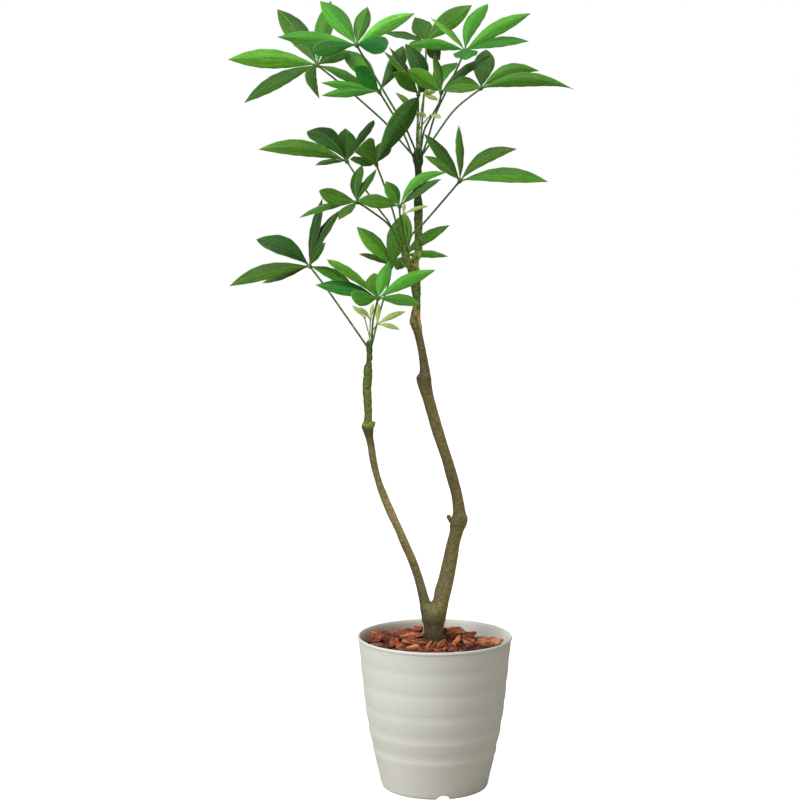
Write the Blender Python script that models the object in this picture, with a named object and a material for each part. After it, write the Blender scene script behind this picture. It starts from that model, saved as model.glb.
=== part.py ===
"""Potted money tree: a forked trunk with palmate leaves in a banded plastic pot.

Metres, +Z up, the front toward -Y. The origin is the middle of the pot's underside.
"""

import math
import random

import bmesh
import bpy
from mathutils import Euler, Vector

MM = 0.001

# Pot
POT_HEIGHT = 296 * MM
RIM_RADIUS = 150 * MM
WALL = 3.0 * MM
SIDES = 36
FOOT_RADIUS = 101 * MM
FOOT_RING_INNER = 92 * MM
FOOT_RECESS = 7 * MM
FLOOR_TOP = 11 * MM
BOSS_RADIUS = 22 * MM
NOTCH_COUNT = 4
NOTCH_WIDTH = 27 * MM
NOTCH_HEIGHT = 9 * MM
FIRST_NOTCH = math.radians(-82)
DRAIN_COUNT = 4
DRAIN_RADIUS = 7 * MM
DRAIN_CIRCLE = 62 * MM
# The outside from the lip down, as (radius, height) in mm: each band swells, then steps in.
POT_OUTSIDE = [
    (150.0, 295.6), (150.0, 291.4), (147.4, 290), (145.3, 261), (143.6, 258),
    (141.2, 218), (139.3, 215), (136.6, 175), (134.6, 172), (130.4, 132), (128.0, 129),
    (122.6, 90), (120.2, 87), (112.6, 46), (104.4, 4), (101.0, 0),
]

# Filling
GAP = 0.3 * MM
SOIL_TOP = 250 * MM
BARK_WALL_TOP = 268 * MM
BARK_MIDDLE_TOP = 276 * MM
BARK_HOLE_GAP = 1.3 * MM
CHIP_COUNT = 24
CHIP_SEED = 7
CHIP_ANGLE_STEP = math.radians(137.5)
CHIP_LENGTH = (22 * MM, 44 * MM)
CHIP_WIDTH = (12 * MM, 22 * MM)
CHIP_THICKNESS = (6 * MM, 11 * MM)
CHIP_LEAN = 0.22
CHIP_ROLL = 0.3
CHIP_RISE = 6 * MM
CHIP_WALL_SPACE = 4 * MM
TRIM_BOTTOM = 240 * MM
TRIM_TOP = 320 * MM
TRIM_SPACE = 1 * MM
HOLE_TOP = 330 * MM

# Trunk
TRUNK_SIDES = 10
STEM_SIDES = 8
BRANCH_SIDES = 7
ROOT_RADIUS = 17.5 * MM
ROOT_BOTTOM = 90 * MM
ROOT_X = -0.8 * MM
ROOT_BACK = 18 * MM
ROOT_TOP = 286 * MM
TRUNK_CLEARANCE = 0.35 * MM

# Leaves
BLADE = 0.9 * MM
TIP_HALF = 0.5 * MM
NECK_HALF = 1.7 * MM
NECK_START = 1.5 * MM
SHORT_LEAFLET = 84 * MM
LONG_LEAFLET = 138 * MM
BOW = 0.07
ARCH_UP = 0.7
ARCH_OUT = 0.5
FOLD = math.radians(13)
WIDEST_START = 1.25
WIDEST_END = 1.05
BLUNT = 0.9
BLUNT_STATION = 0.93
STALK_RADIUS = 1.9 * MM
STALK_BASE = 2.6 * MM
HUB_RADIUS = 4.6 * MM
YOUNG_STALK_RADIUS = 1.2 * MM
YOUNG_HUB_RADIUS = 2.4 * MM
STALK_SIDES = 5
STALK_STEPS = 5
YOUNG_STALK_STEPS = 2

# The plant is laid out on the lines of sight of one eye point: a place is written as its
# column and row in an 800 pixel square view and its distance behind the pot's axis in mm.
EYE = Vector((-0.0678, -3.30, 1.050))
EYE_PITCH = math.radians(5.1)
EYE_FOCAL_PX = 1722.0
VIEW_CENTRE_PX = 400.0

# Trunk rings from the ground up: (row, left column, right column, mm behind the axis).
MAIN_RINGS = [
    (634, 424.4, 443.2, 18), (623, 423.8, 443.8, 18), (618, 423.4, 443.4, 18),
    (611, 421.4, 445.2, 18), (604, 420.8, 447.4, 18), (598, 431.0, 449.8, 18),
    (590, 434.6, 451.8, 20), (578, 438.3, 454.4, 21), (560, 442.6, 457.6, 21),
    (545, 446.0, 459.8, 19), (531, 449.4, 463.1, 17), (519, 450.8, 467.7, 15),
    (512, 452.7, 465.8, 14), (495, 451.0, 462.6, 11), (478, 446.3, 458.3, 7),
    (460, 441.5, 453.0, 2), (445, 436.3, 448.0, 0), (430, 431.2, 443.5, -1),
    (400, 422.6, 434.9, -4), (388, 418.4, 432.4, -5), (378, 416.2, 431.2, -5),
    (370, 419.6, 429.9, -4), (350, 417.6, 426.0, -2), (334, 413.8, 422.6, 0),
    (327, 411.3, 421.8, 1), (320, 409.5, 420.6, 2), (306, 412.4, 420.5, 3),
    (287, 410.8, 420.8, 5), (270, 407.2, 419.6, 7), (262, 405.2, 418.8, 8),
    (253, 413.9, 421.8, 9), (225, 414.1, 422.7, 10), (208, 414.0, 422.9, 10),
    (202, 413.4, 422.6, 10), (195, 414.5, 421.4, 10), (170, 414.8, 421.9, 10),
    (160, 412.6, 423.4, 10), (151, 413.6, 422.4, 10), (147, 416.4, 420.0, 10),
]
LEFT_RINGS = [
    (613, 424.0, 438.0, 18), (603, 419.8, 432.0, 18), (593, 417.4, 427.6, 17),
    (580, 414.3, 423.7, 15), (562, 408.2, 417.6, 10), (545, 400.6, 410.1, 5),
    (530, 394.6, 403.4, -1), (515, 387.2, 396.6, -6), (497, 379.9, 388.7, -11),
    (479, 374.2, 381.4, -15), (460, 369.4, 377.0, -18), (446, 367.3, 375.0, -19),
    (436, 364.6, 373.4, -20), (427, 361.4, 373.8, -20), (423, 362.2, 375.0, -20),
    (418, 364.0, 372.2, -20), (408, 364.6, 371.7, -19), (390, 362.9, 370.9, -17),
    (378, 363.4, 371.9, -15), (366, 364.4, 371.9, -14), (357, 366.6, 372.7, -12),
    (350, 366.4, 372.4, -11), (344, 366.0, 372.6, -10), (340, 367.8, 371.4, -10),
]
BRANCH_RINGS = [
    (272, 410.0, 418.0, 4), (266, 406.4, 414.0, -4), (261, 404.2, 411.0, -14),
    (256, 403.6, 410.2, -22), (249, 403.4, 410.2, -28), (243, 403.8, 409.8, -31),
    (240, 405.4, 408.4, -31),
]
STUB_RINGS = [(527, 450.0, 460.0, 12), (521, 446.6, 453.0, 8), (515, 446.4, 450.4, 6)]
JOINT_RINGS = [(430, 367.0, 373.0, -16), (424, 370.6, 376.2, -12), (419, 372.4, 376.6, -11)]

# Each leaf: its hub, its stalk from the trunk outward, and its leaflets. A leaflet is the
# place of its tip, its width in mm and how far its upper edge turns back in degrees. Further
# values are its own bow, the taper of its tip (blunter when small) and its sway to +X in mm.
LEAVES = {
    "leaf_crown_far_left": {
        "hub": (317, 65, -20),
        "stalk": [(417, 158, 10), (411, 153, 7), (397, 137, 3), (385, 122.5, 1), (356.6, 97, -6),
                  (339.4, 82.7, -14)],
        "leaflets": [
            (228, 59.5, -40, 40, 25, 0.055), (244.5, 102.7, -65, 33, 35),
            (319.5, 98.5, -110, 29, 40, 0.07, 1.05, -14), (368, 90, -5, 28, 50),
            (277.2, 9.2, 70, 44, 15),
            (330.9, 0.8, 80, 35, 15), (350, 52, 60, 30, 20),
        ],
    },
    "leaf_crown_left_front": {
        "hub": (356.5, 45, -170),
        "stalk": [(418, 160, 6), (415.6, 151, -14), (411, 140, -56), (404, 124, -92),
                  (395, 110, -110), (370, 68, -146)],
        "leaflets": [
            (319.9, 1.1, -110, 36, 10), (367.5, 6.9, -100, 29, 12), (414.7, 13.4, -160, 27, 15),
            (386.8, 48, -250, 37, 30, 0.07, 0.6), (277.4, 37, -190, 31, 35, 0.04),
            (313, 51.5, -235, 31, 30, 0.05, 0.6),
        ],
    },
    "leaf_crown_left_back": {
        "hub": (379, 91.5, -45),
        "stalk": [(418, 164, 10), (412.6, 156, 2), (406, 139, -8), (401, 129, -16), (391, 111, -30)],
        "leaflets": [
            (342, 50, 100, 36, 15), (354.2, 67, -110, 35, 20), (321.1, 82.7, -60, 24, 45, 0.03),
            (321.7, 95.7, -85, 27, 50, 0.04), (403, 46, 95, 32, 10, 0.07, 1.05, 10),
        ],
    },
    "leaf_crown_centre": {
        "hub": (418.3, 94, 0),
        "stalk": [(417.4, 156, 12), (417, 146, 12), (416.9, 136, 10), (418.2, 112, 4)],
        "leaflets": [
            (389.1, 47.1, 25, 24, 58), (383.6, 51.1, 0, 24, 60),
            (405.4, 43.6, 32, 36, 15, 0.07, 0.9, 14), (393, 72.7, -70, 30, 25), (431, 80, 60, 24, 10),
        ],
    },
    "leaf_crown_centre_back": {
        "hub": (425.5, 42, 160),
        "stalk": [(419.5, 156, 14), (420.4, 146, 28), (421, 136, 46), (423.6, 100, 90),
                  (425.8, 60, 135)],
        "leaflets": [
            (471.9, 5.2, 180, 39, 15), (414.5, 17.2, 225, 42, 10, 0.07, 1.2, 4), (383.9, 33, 170, 27, 58),
            (440, 60, 240, 32, 10), (405, 58, 230, 30, 10),
        ],
    },
    "leaf_crown_centre_front": {
        "hub": (441.3, 92, -60),
        "stalk": [(419, 160, 8), (421, 150, -1), (424, 131, -12), (430.7, 117.7, -28),
                  (439, 103, -48)],
        "leaflets": [
            (407.1, 69.5, -75, 33, 20), (481.2, 87.8, -95, 33, 28, 0.15),
            (457.3, 62.5, 8, 33, 25, 0.1, 0.8, -15), (434.7, 54.2, -20, 24, 48),
            (490.5, 55, -20, 34, 60),
        ],
    },
    "leaf_crown_right": {
        "hub": (465, 50.5, -20),
        "stalk": [(419, 164, 10), (423, 152, 8), (428.7, 136, 4), (435.8, 113.6, -2),
                  (453.6, 75.8, -12)],
        "leaflets": [
            (431, 18.1, 10, 25, 60), (487.6, 3.9, 35, 32, 25, 0.07, 0.8, -8),
            (530.7, 13.4, -20, 30, 28),
            (528.6, 41.3, -50, 27, 45), (411.7, 44.8, -60, 29, 45), (466, 60, -125, 46, 0),
        ],
    },
    "leaf_crown_far_right": {
        "hub": (481, 88.4, 120),
        "stalk": [(419, 160, 12), (425, 151, 29), (434.3, 137.6, 52), (454.9, 109.4, 86)],
        "leaflets": [
            (574.2, 89.6, 100, 32, 28, 0.12, 1.5), (539.3, 71.1, 156, 31, 35, 0.17),
            (486, 49.5, 172, 43, 10, 0.07, 0.8), (448, 85, 190, 18, 45, 0.03),
        ],
    },
    "leaf_branch_right": {
        "hub": (460, 180.8, -110),
        "stalk": [(407, 250, -28), (411.3, 236, -41), (415.9, 230.2, -51), (423.4, 223.4, -63),
                  (442, 202, -87)],
        "leaflets": [
            (547.8, 181.8, -130, 32, 30, 0.09), (517, 149, -80, 29, 30, 0.16),
            (458.8, 125.3, -70, 27, 55), (423.9, 133.7, -115, 29, 40), (424.4, 156, -150, 24, 50),
        ],
    },
    "leaf_branch_upright": {
        "hub": (376, 163.8, -70),
        "stalk": [(406.2, 247, -29), (401, 239.5, -34), (396, 222, -41), (389.7, 201, -48),
                  (384, 184.6, -57)],
        "leaflets": [
            (417.2, 97.2, -50, 40, 5, 0.05, 0.75), (352.5, 152.3, -140, 47, 20, 0.26, 1.4, 4),
            (350, 159.5, -156, 24, 50, 0.02), (389, 142, 20, 30, 10),
        ],
    },
    "leaf_branch_far_left": {
        "hub": (346.7, 161.2, 20),
        "stalk": [(406.4, 261, -16), (399, 248, -7), (389.5, 223.7, 0), (378.2, 208.2, 6),
                  (355, 174, 11)],
        "leaflets": [
            (258.3, 149.5, 0, 35, 27, 0.1), (307.1, 131.3, 70, 42, 20, 0.19, 0.8),
            (345.5, 128.3, 80, 42, 15, 0.07, 1.05, 3), (373.7, 120.1, 60, 25, 50, 0.04, 0.6),
            (315.1, 165.4, -20, 20, 60),
        ],
    },
    "leaf_branch_left": {
        "hub": (357, 202, -80),
        "stalk": [(406.2, 256, -24), (399, 246, -29), (389.5, 225.8, -45), (369.1, 209.6, -65)],
        "leaflets": [
            (318.8, 190.8, -105, 33, 25, -0.03, 0.9), (299.3, 217.7, -85, 25, 58),
            (361.8, 164.8, -40, 27, 35, 0.07, 0.9, -6), (376.5, 169, -50, 23, 55), (338.6, 219.8, -135, 24, 45), (364.9, 180.5, -60, 16, 30),
        ],
    },
    "leaf_branch_front": {
        "hub": (399.6, 206.1, -135),
        "stalk": [(407, 252, -28), (405.4, 242, -58), (400.4, 218.1, -106)],
        "leaflets": [
            (385.8, 181.1, -122, 27, 15), (447.3, 172.6, -140, 23, 38, 0.22),
            (441.2, 179.1, -165, 24, 50), (357, 201, -165, 28, 25),
        ],
    },
    "leaf_branch_back": {
        "hub": (403.5, 256, 85),
        "stalk": [(408.6, 268, 0), (403, 264, 24), (402.4, 259, 54)],
        "leaflets": [
            (449.5, 225.2, 120, 27, 35), (447.9, 256.5, 90, 23, 50), (396.5, 270, 56, 26, 10),
            (405.5, 213, 142, 31, 15),
        ],
    },
    "leaf_stem_far_left": {
        "hub": (309.5, 266, 10),
        "stalk": [(369.4, 350, -10), (364, 342, -2), (329, 291.8, 2), (318, 277, 6)],
        "leaflets": [
            (229.6, 286, -20, 33, 27, 0.08), (262.1, 283.3, 30, 22, 45, 0.03),
            (256.4, 239.4, 40, 42, 27, 0.14, 0.9), (322.2, 198.4, 60, 28, 47),
            (339, 210.7, 40, 28, 47, 0.07, 0.8, -4), (325.6, 242.8, -40, 22, 45), (352, 285, 0, 26, 35),
        ],
    },
    "leaf_stem_front": {
        "hub": (378, 298.5, -140),
        "stalk": [(369.4, 349, -12), (371.6, 341, -36), (373.2, 319, -90)],
        "leaflets": [
            (327, 259.5, -150, 27, 50, 0.07, 0.7), (315.6, 285.2, -155, 31, 30),
            (352.5, 299.5, -220, 33, 30, 0.05, 0.6),
            (389.3, 261, -100, 27, 25), (435.5, 270, -140, 28, 32), (420.9, 305, -180, 26, 35),
            (374, 273, -60, 42, 0),
        ],
    },
    "leaf_stem_back": {
        "hub": (391.3, 266, 32),
        "stalk": [(369.6, 351, -8), (373, 340, 2), (378, 319, 10), (383, 301, 18),
                  (389.3, 280.6, 26)],
        "leaflets": [
            (356.8, 226.8, 52, 34, 22), (358.8, 254.3, -8, 20, 58), (402.6, 214, 42, 41, 15),
            (375, 245, 87, 30, 15),
        ],
    },
}
# Each young shoot: the joined stalks, every one with the small leaflets on its end.
SHOOTS = {
    "young_crown": [
        {"stalk": [(418.6, 156, 8), (418.8, 144, 3), (419, 130, -8)], "hub": (416.4, 112.6, -20),
         "leaflets": [(395.5, 92.7, -40, 12, 20), (426.6, 117.7, -48, 10, 20)]},
        {"stalk": [(418.8, 144, 3), (419, 130, -8)], "hub": (430.7, 115.1, -45),
         "leaflets": [(441.4, 117.7, -62, 9, 20)]},
        {"stalk": [(418.8, 144, 3), (419, 130, -8), (421, 112, -22)], "hub": (423.6, 95.7, -28),
         "leaflets": [(428.2, 89.6, -40, 8, 20), (436.8, 90.6, -34, 9, 20),
                      (438.4, 100.3, -44, 9, 20)]},
    ],
    "young_branch": [
        {"stalk": [(407, 249, -31), (406.6, 240, -36), (405, 228, -44)], "hub": (403.5, 214, -48),
         "leaflets": [(428.6, 206.1, -56, 8, 20), (404.4, 202.4, -40, 7, 10)]},
    ],
    "young_stem": [
        {"stalk": [(369.4, 346, -12), (369.6, 338, -14), (373, 330, -20)], "hub": (377.4, 324.1, -28),
         "leaflets": [(405.8, 311.5, -36, 12, 20), (399.8, 329.7, -44, 10, 20),
                      (378.4, 302.4, -20, 11, 20)]},
        {"stalk": [(369.4, 346, -12), (369.6, 338, -14)], "hub": (370.4, 319.2, -18),
         "leaflets": [(359.1, 307.3, -20, 9, 20), (373.2, 303.1, -10, 8, 20)]},
        {"stalk": [(369.4, 346, -12), (369.6, 338, -14)], "hub": (364.5, 317.5, -6),
         "leaflets": [(352.1, 305.6, 2, 9, 20)]},
    ],
}

# Chips that can be told apart: (column, row, mm behind the axis, length, width, thickness in
# mm, turn, lean in degrees).
LARGE_CHIPS = [
    (454, 634, 30, 40, 24, 15, 10, 12), (381, 638, 20, 42, 26, 17, -12, 8),
    (402, 637, 44, 58, 20, 8, -4, 4), (454, 645, -6, 28, 16, 12, 60, 24),
    (489, 642, 30, 52, 15, 9, 16, 6), (470, 633, 70, 34, 8, 7, -20, 10),
    (408, 632, 86, 50, 18, 9, 8, -6), (436, 650, -52, 44, 22, 11, -24, 8),
    (399, 650, -24, 40, 22, 12, 32, 6),
]

# Colours (linear)
COLOURS = {
    "pot": ((0.62, 0.61, 0.57), 0.55),
    "soil": ((0.03, 0.02, 0.014), 0.95),
    "bark": ((0.30, 0.075, 0.033), 0.85),
    "trunk": ((0.15, 0.115, 0.06), 0.8),
    "leaf": ((0.075, 0.27, 0.04), 0.38),
    "young": ((0.34, 0.5, 0.09), 0.45),
}


def clear_scene():
    for item in list(bpy.data.objects):
        bpy.data.objects.remove(item, do_unlink=True)


def material(name):
    """The node material of one slot."""
    made = bpy.data.materials.get(name)
    if made:
        return made
    colour, roughness = COLOURS[name]
    made = bpy.data.materials.new(name)
    made.use_nodes = True
    shader = made.node_tree.nodes["Principled BSDF"]
    shader.inputs["Base Color"].default_value = (*colour, 1.0)
    shader.inputs["Roughness"].default_value = roughness
    return made


def seen_at(place):
    """The point on the line of sight through a column and row, at a depth behind the axis."""
    column, row, back = place[:3]
    side = (column - VIEW_CENTRE_PX) / EYE_FOCAL_PX
    rise = (VIEW_CENTRE_PX - row) / EYE_FOCAL_PX
    cos_pitch = math.cos(EYE_PITCH)
    sin_pitch = math.sin(EYE_PITCH)
    line = Vector((side, cos_pitch + rise * sin_pitch, rise * cos_pitch - sin_pitch))
    return EYE + line * ((back * MM - EYE.y) / line.y)


def mesh_object(name, points, faces, slot, smooth):
    """A new object from points and faces, its normals facing out."""
    shape = bpy.data.meshes.new(name)
    shape.from_pydata([tuple(point) for point in points], [], faces)
    work = bmesh.new()
    work.from_mesh(shape)
    bmesh.ops.recalc_face_normals(work, faces=work.faces)
    work.to_mesh(shape)
    work.free()
    shape.materials.append(material(slot))
    for face in shape.polygons:
        face.use_smooth = smooth
    made = bpy.data.objects.new(name, shape)
    bpy.context.scene.collection.objects.link(made)
    return made


def ring_body(name, rings, slot, smooth=True):
    """A closed tube through rings of points that are alike in number."""
    sides = len(rings[0])
    points = [point for ring in rings for point in ring]
    faces = []
    for step in range(len(rings) - 1):
        for side in range(sides):
            here = step * sides + side
            beside = step * sides + (side + 1) % sides
            faces.append((here, beside, beside + sides))
            faces.append((here, beside + sides, here + sides))
    for side in range(1, sides - 1):
        faces.append((0, side + 1, side))
        last = (len(rings) - 1) * sides
        faces.append((last, last + side, last + side + 1))
    return mesh_object(name, points, faces, slot, smooth)


def circle(centre, radius, sides, phase=0.0):
    """A level ring of points."""
    ring = []
    for side in range(sides):
        angle = phase + 2 * math.pi * side / sides
        ring.append(centre + Vector((math.cos(angle), math.sin(angle), 0)) * radius)
    return ring


def lathe(name, profile, slot, sides):
    """A body turned round the pot's axis from (radius, height) points, both ends on the axis."""
    points = [Vector((0, 0, profile[0][1]))]
    for radius, height in profile[1:-1]:
        points.extend(circle(Vector((0, 0, height)), radius, sides))
    points.append(Vector((0, 0, profile[-1][1])))
    faces = []
    for side in range(sides):
        beside = (side + 1) % sides
        faces.append((0, 1 + side, 1 + beside))
        last = 1 + (len(profile) - 3) * sides
        faces.append((last + side, len(points) - 1, last + beside))
        for step in range(len(profile) - 3):
            low = 1 + step * sides
            high = low + sides
            faces.append((low + side, high + side, high + beside))
            faces.append((low + side, high + beside, low + beside))
    return mesh_object(name, points, faces, slot, True)


def remove(item):
    shape = item.data
    bpy.data.objects.remove(item, do_unlink=True)
    bpy.data.meshes.remove(shape)


def apply_boolean(body, operation, pieces, solver="MANIFOLD"):
    """Join pieces to a body or cut them from it, then take the pieces away."""
    group = bpy.data.collections.new(body.name + "_pieces")
    for piece in pieces:
        group.objects.link(piece)
    change = body.modifiers.new("change", "BOOLEAN")
    change.operation = operation
    change.operand_type = "COLLECTION"
    change.collection = group
    change.solver = solver
    bpy.context.view_layer.update()
    graph = bpy.context.evaluated_depsgraph_get()
    shape = bpy.data.meshes.new_from_object(body.evaluated_get(graph))
    body.modifiers.clear()
    old = body.data
    body.data = shape
    bpy.data.meshes.remove(old)
    shape.name = body.name
    for piece in pieces:
        remove(piece)
    bpy.data.collections.remove(group)


def shell_volume(faces):
    """Six times the signed volume inside a shell of faces."""
    total = 0.0
    for face in faces:
        first = face.verts[0].co
        for second, third in zip(face.verts[1:], face.verts[2:]):
            total += first.dot(second.co.cross(third.co))
    return total


def keep_main_shell(body):
    """Keep the largest shell: a loose scrap goes, and a hollow sealed by joining is filled."""
    work = bmesh.new()
    work.from_mesh(body.data)
    left = set(work.faces)
    shells = []
    while left:
        shell = [left.pop()]
        for face in shell:
            for edge in face.edges:
                for near in edge.link_faces:
                    if near in left:
                        left.remove(near)
                        shell.append(near)
        shells.append(shell)
    shells.sort(key=shell_volume)
    spare = [face for shell in shells[:-1] for face in shell]
    bmesh.ops.delete(work, geom=spare, context="FACES")
    loose = [point for point in work.verts if not point.link_faces]
    bmesh.ops.delete(work, geom=loose, context="VERTS")
    work.to_mesh(body.data)
    work.free()


def pot_inside():
    """The inner wall, WALL inside the outside line, from the lip down to the floor."""
    return [(144.2, 291), (131.6, 172), (109.6, 46), (99.0, 11)]


def inner_radius(height):
    """The radius of the pot's inside at a height."""
    line = [(radius * MM, level * MM) for radius, level in pot_inside()]
    for (wide, upper), (narrow, lower) in zip(line, line[1:]):
        if height >= lower:
            return narrow + (wide - narrow) * (height - lower) / (upper - lower)
    return line[-1][0]


def build_pot():
    """One moulded shell: banded wall, thin lip, foot ring with arches and a holed floor."""
    outside = [(radius * MM, height * MM) for radius, height in POT_OUTSIDE]
    inside = [(radius * MM, height * MM) for radius, height in pot_inside()]
    underside = [
        (FOOT_RING_INNER, 0.0), (FOOT_RING_INNER - 1 * MM, FOOT_RECESS),
        (BOSS_RADIUS + 1 * MM, FOOT_RECESS), (BOSS_RADIUS, 0.0), (0.0, 0.0),
    ]
    lip = [(RIM_RADIUS - WALL, POT_HEIGHT - 1 * MM), (RIM_RADIUS - WALL / 2, POT_HEIGHT)]
    profile = [(0.0, FLOOR_TOP)] + inside[::-1] + lip + outside + underside
    pot = lathe("pot", profile, "pot", SIDES)
    cutters = []
    for number in range(NOTCH_COUNT):
        angle = FIRST_NOTCH + 2 * math.pi * number / NOTCH_COUNT
        cutters.append(arch_cutter(angle))
    for number in range(DRAIN_COUNT):
        angle = FIRST_NOTCH + math.pi * (2 * number + 1) / DRAIN_COUNT
        middle = Vector((math.cos(angle), math.sin(angle), 0)) * DRAIN_CIRCLE
        low = circle(middle + Vector((0, 0, FOOT_RECESS - 3 * MM)), DRAIN_RADIUS, 8)
        high = circle(middle + Vector((0, 0, FLOOR_TOP + 3 * MM)), DRAIN_RADIUS, 8)
        cutters.append(ring_body("cutter", [low, high], "pot"))
    apply_boolean(pot, "DIFFERENCE", cutters)
    return pot


def arch_cutter(angle):
    """A round-topped bar that cuts one arch through the foot ring."""
    outward = Vector((math.cos(angle), math.sin(angle), 0))
    across = Vector((-math.sin(angle), math.cos(angle), 0))
    arch = [(-0.5, -0.4), (-0.46, 0.4), (-0.22, 0.93), (0.22, 0.93), (0.46, 0.4), (0.5, -0.4)]
    rings = []
    for reach in (FOOT_RING_INNER - 8 * MM, FOOT_RADIUS + 12 * MM):
        ring = []
        for side, height in arch:
            place = outward * reach + across * side * NOTCH_WIDTH
            ring.append(place + Vector((0, 0, height * NOTCH_HEIGHT)))
        rings.append(ring)
    return ring_body("cutter", rings, "pot", False)


def root_cutter(low, high, grow):
    """The plain round hole that the trunk's foot stands in."""
    middle = Vector((ROOT_X, ROOT_BACK, 0))
    radius = ROOT_RADIUS + grow
    rings = [circle(middle + Vector((0, 0, height)), radius, TRUNK_SIDES) for height in (low, high)]
    return ring_body("cutter", rings, "soil")


def build_soil():
    """The soil, which fills the pot up to the bark."""
    levels = [height * MM for _, height in pot_inside() if height * MM < SOIL_TOP]
    profile = [(0.0, FLOOR_TOP + GAP)]
    for height in sorted(levels):
        level = max(height, FLOOR_TOP + GAP)
        profile.append((inner_radius(height) - GAP - 0.2 * MM, level))
    profile.append((inner_radius(SOIL_TOP) - GAP - 0.2 * MM, SOIL_TOP))
    profile.append((0.0, SOIL_TOP))
    soil = lathe("soil", profile, "soil", SIDES)
    hole = root_cutter(ROOT_BOTTOM - GAP, SOIL_TOP + 10 * MM, 2 * GAP)
    apply_boolean(soil, "DIFFERENCE", [hole])
    return soil


def chip(draw, centre, length, width, thick, turn, lean, roll):
    """One split piece of bark: a slab with uneven corners."""
    outline = [(-0.5, -0.34), (0.42, -0.5), (0.5, 0.28), (-0.36, 0.5)]
    rings = []
    for side, shrink in ((-0.5, 0.86), (0.5, 1.0)):
        ring = []
        for along, across in outline:
            spot = Vector((
                along * length * shrink * draw.uniform(0.82, 1.1),
                across * width * shrink * draw.uniform(0.8, 1.1),
                side * thick * draw.uniform(0.75, 1.1),
            ))
            ring.append(spot)
        rings.append(ring)
    body = ring_body("chip", rings, "bark", False)
    for point in body.data.vertices:
        spot = point.co.copy()
        spot.rotate(Euler((roll, lean, turn)))
        point.co = centre + spot
    return body


def bark_top(radius, edge):
    """The level of the bark bed, mounded toward the middle."""
    return BARK_WALL_TOP + (BARK_MIDDLE_TOP - BARK_WALL_TOP) * (1 - radius / edge)


def scattered_chips(draw, edge):
    """Loose chips spread over the bed; those near the wall lie along it."""
    chips = []
    for number in range(CHIP_COUNT):
        angle = number * CHIP_ANGLE_STEP + draw.uniform(-CHIP_ROLL, CHIP_ROLL)
        reach = edge * 0.86 * math.sqrt((number + 0.5) / CHIP_COUNT)
        length = draw.uniform(*CHIP_LENGTH)
        if reach + length / 2 > edge - CHIP_WALL_SPACE:
            turn = angle + math.pi / 2 + draw.uniform(-0.35, 0.35)
        else:
            turn = draw.uniform(0, math.pi)
        level = bark_top(reach, edge) + draw.uniform(0.0, CHIP_RISE)
        centre = Vector((math.cos(angle) * reach, math.sin(angle) * reach, level))
        width = draw.uniform(*CHIP_WIDTH)
        thick = draw.uniform(*CHIP_THICKNESS)
        lean = draw.uniform(-CHIP_LEAN, CHIP_LEAN)
        roll = draw.uniform(-CHIP_ROLL, CHIP_ROLL)
        chips.append(chip(draw, centre, length, width, thick, turn, lean, roll))
    return chips


def wall_cutter():
    """A thick tube just inside the pot's wall, which trims the chips that reach it."""
    outer = [circle(Vector((0, 0, height)), RIM_RADIUS * 1.3, SIDES)
             for height in (TRIM_BOTTOM, TRIM_TOP)]
    inner = [circle(Vector((0, 0, height)), inner_radius(height) - TRIM_SPACE, SIDES)
             for height in (TRIM_BOTTOM - GAP, TRIM_TOP + GAP)]
    wall = ring_body("cutter", outer, "bark")
    apply_boolean(wall, "DIFFERENCE", [ring_body("core", inner, "bark")])
    return wall


def build_bark():
    """Bark mulch: loose chips sunk in a bed, fused as one layer with a hole for the trunk."""
    draw = random.Random(CHIP_SEED)
    edge = inner_radius(SOIL_TOP + GAP) - GAP - 0.4 * MM
    profile = [(0.0, SOIL_TOP + GAP), (edge, SOIL_TOP + GAP), (edge, BARK_WALL_TOP - 3 * MM),
               (edge * 0.93, BARK_WALL_TOP), (edge * 0.4, bark_top(0.4, 1)), (0.0, BARK_MIDDLE_TOP)]
    bed = lathe("bark_chips", profile, "bark", SIDES)
    chips = scattered_chips(draw, edge)
    for place in LARGE_CHIPS:
        length, width, thick, turn, lean = place[3:]
        centre = seen_at(place)
        chips.append(chip(draw, centre, length * MM, width * MM, thick * MM,
                          math.radians(turn), math.radians(lean), 0.1))
    apply_boolean(bed, "UNION", chips)
    keep_main_shell(bed)
    hole = root_cutter(SOIL_TOP - 20 * MM, HOLE_TOP, BARK_HOLE_GAP)
    apply_boolean(bed, "DIFFERENCE", [wall_cutter(), hole])
    keep_main_shell(bed)
    return bed


def stem_rings(rows, sides, grow):
    """Level rings of a stem from its two edges in the view."""
    rings = []
    for row, left, right, back in rows:
        near = seen_at((left, row, back))
        far = seen_at((right, row, back))
        rings.append(circle((near + far) / 2, (far - near).length / 2 + grow, sides))
    return rings


def build_trunk(name, grow):
    """The grown wood: foot, fork, both stems and the short branch, swelled by grow."""
    foot = Vector((ROOT_X, ROOT_BACK, 0))
    rings = [circle(foot + Vector((0, 0, height)), ROOT_RADIUS + grow, TRUNK_SIDES)
             for height in (ROOT_BOTTOM, ROOT_TOP)]
    rings += stem_rings(MAIN_RINGS, TRUNK_SIDES, grow)
    rings[-1] = [point + Vector((0, 0, grow)) for point in rings[-1]]
    trunk = ring_body(name, rings, "trunk")
    branches = []
    for rows, sides in ((LEFT_RINGS, STEM_SIDES), (BRANCH_RINGS, BRANCH_SIDES),
                        (STUB_RINGS, BRANCH_SIDES), (JOINT_RINGS, BRANCH_SIDES)):
        shape = stem_rings(rows, sides, grow)
        shape[-1] = [point + Vector((0, 0, grow)) for point in shape[-1]]
        branches.append(ring_body("branch", shape, "trunk"))
    apply_boolean(trunk, "UNION", branches)
    keep_main_shell(trunk)
    return trunk


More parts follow.
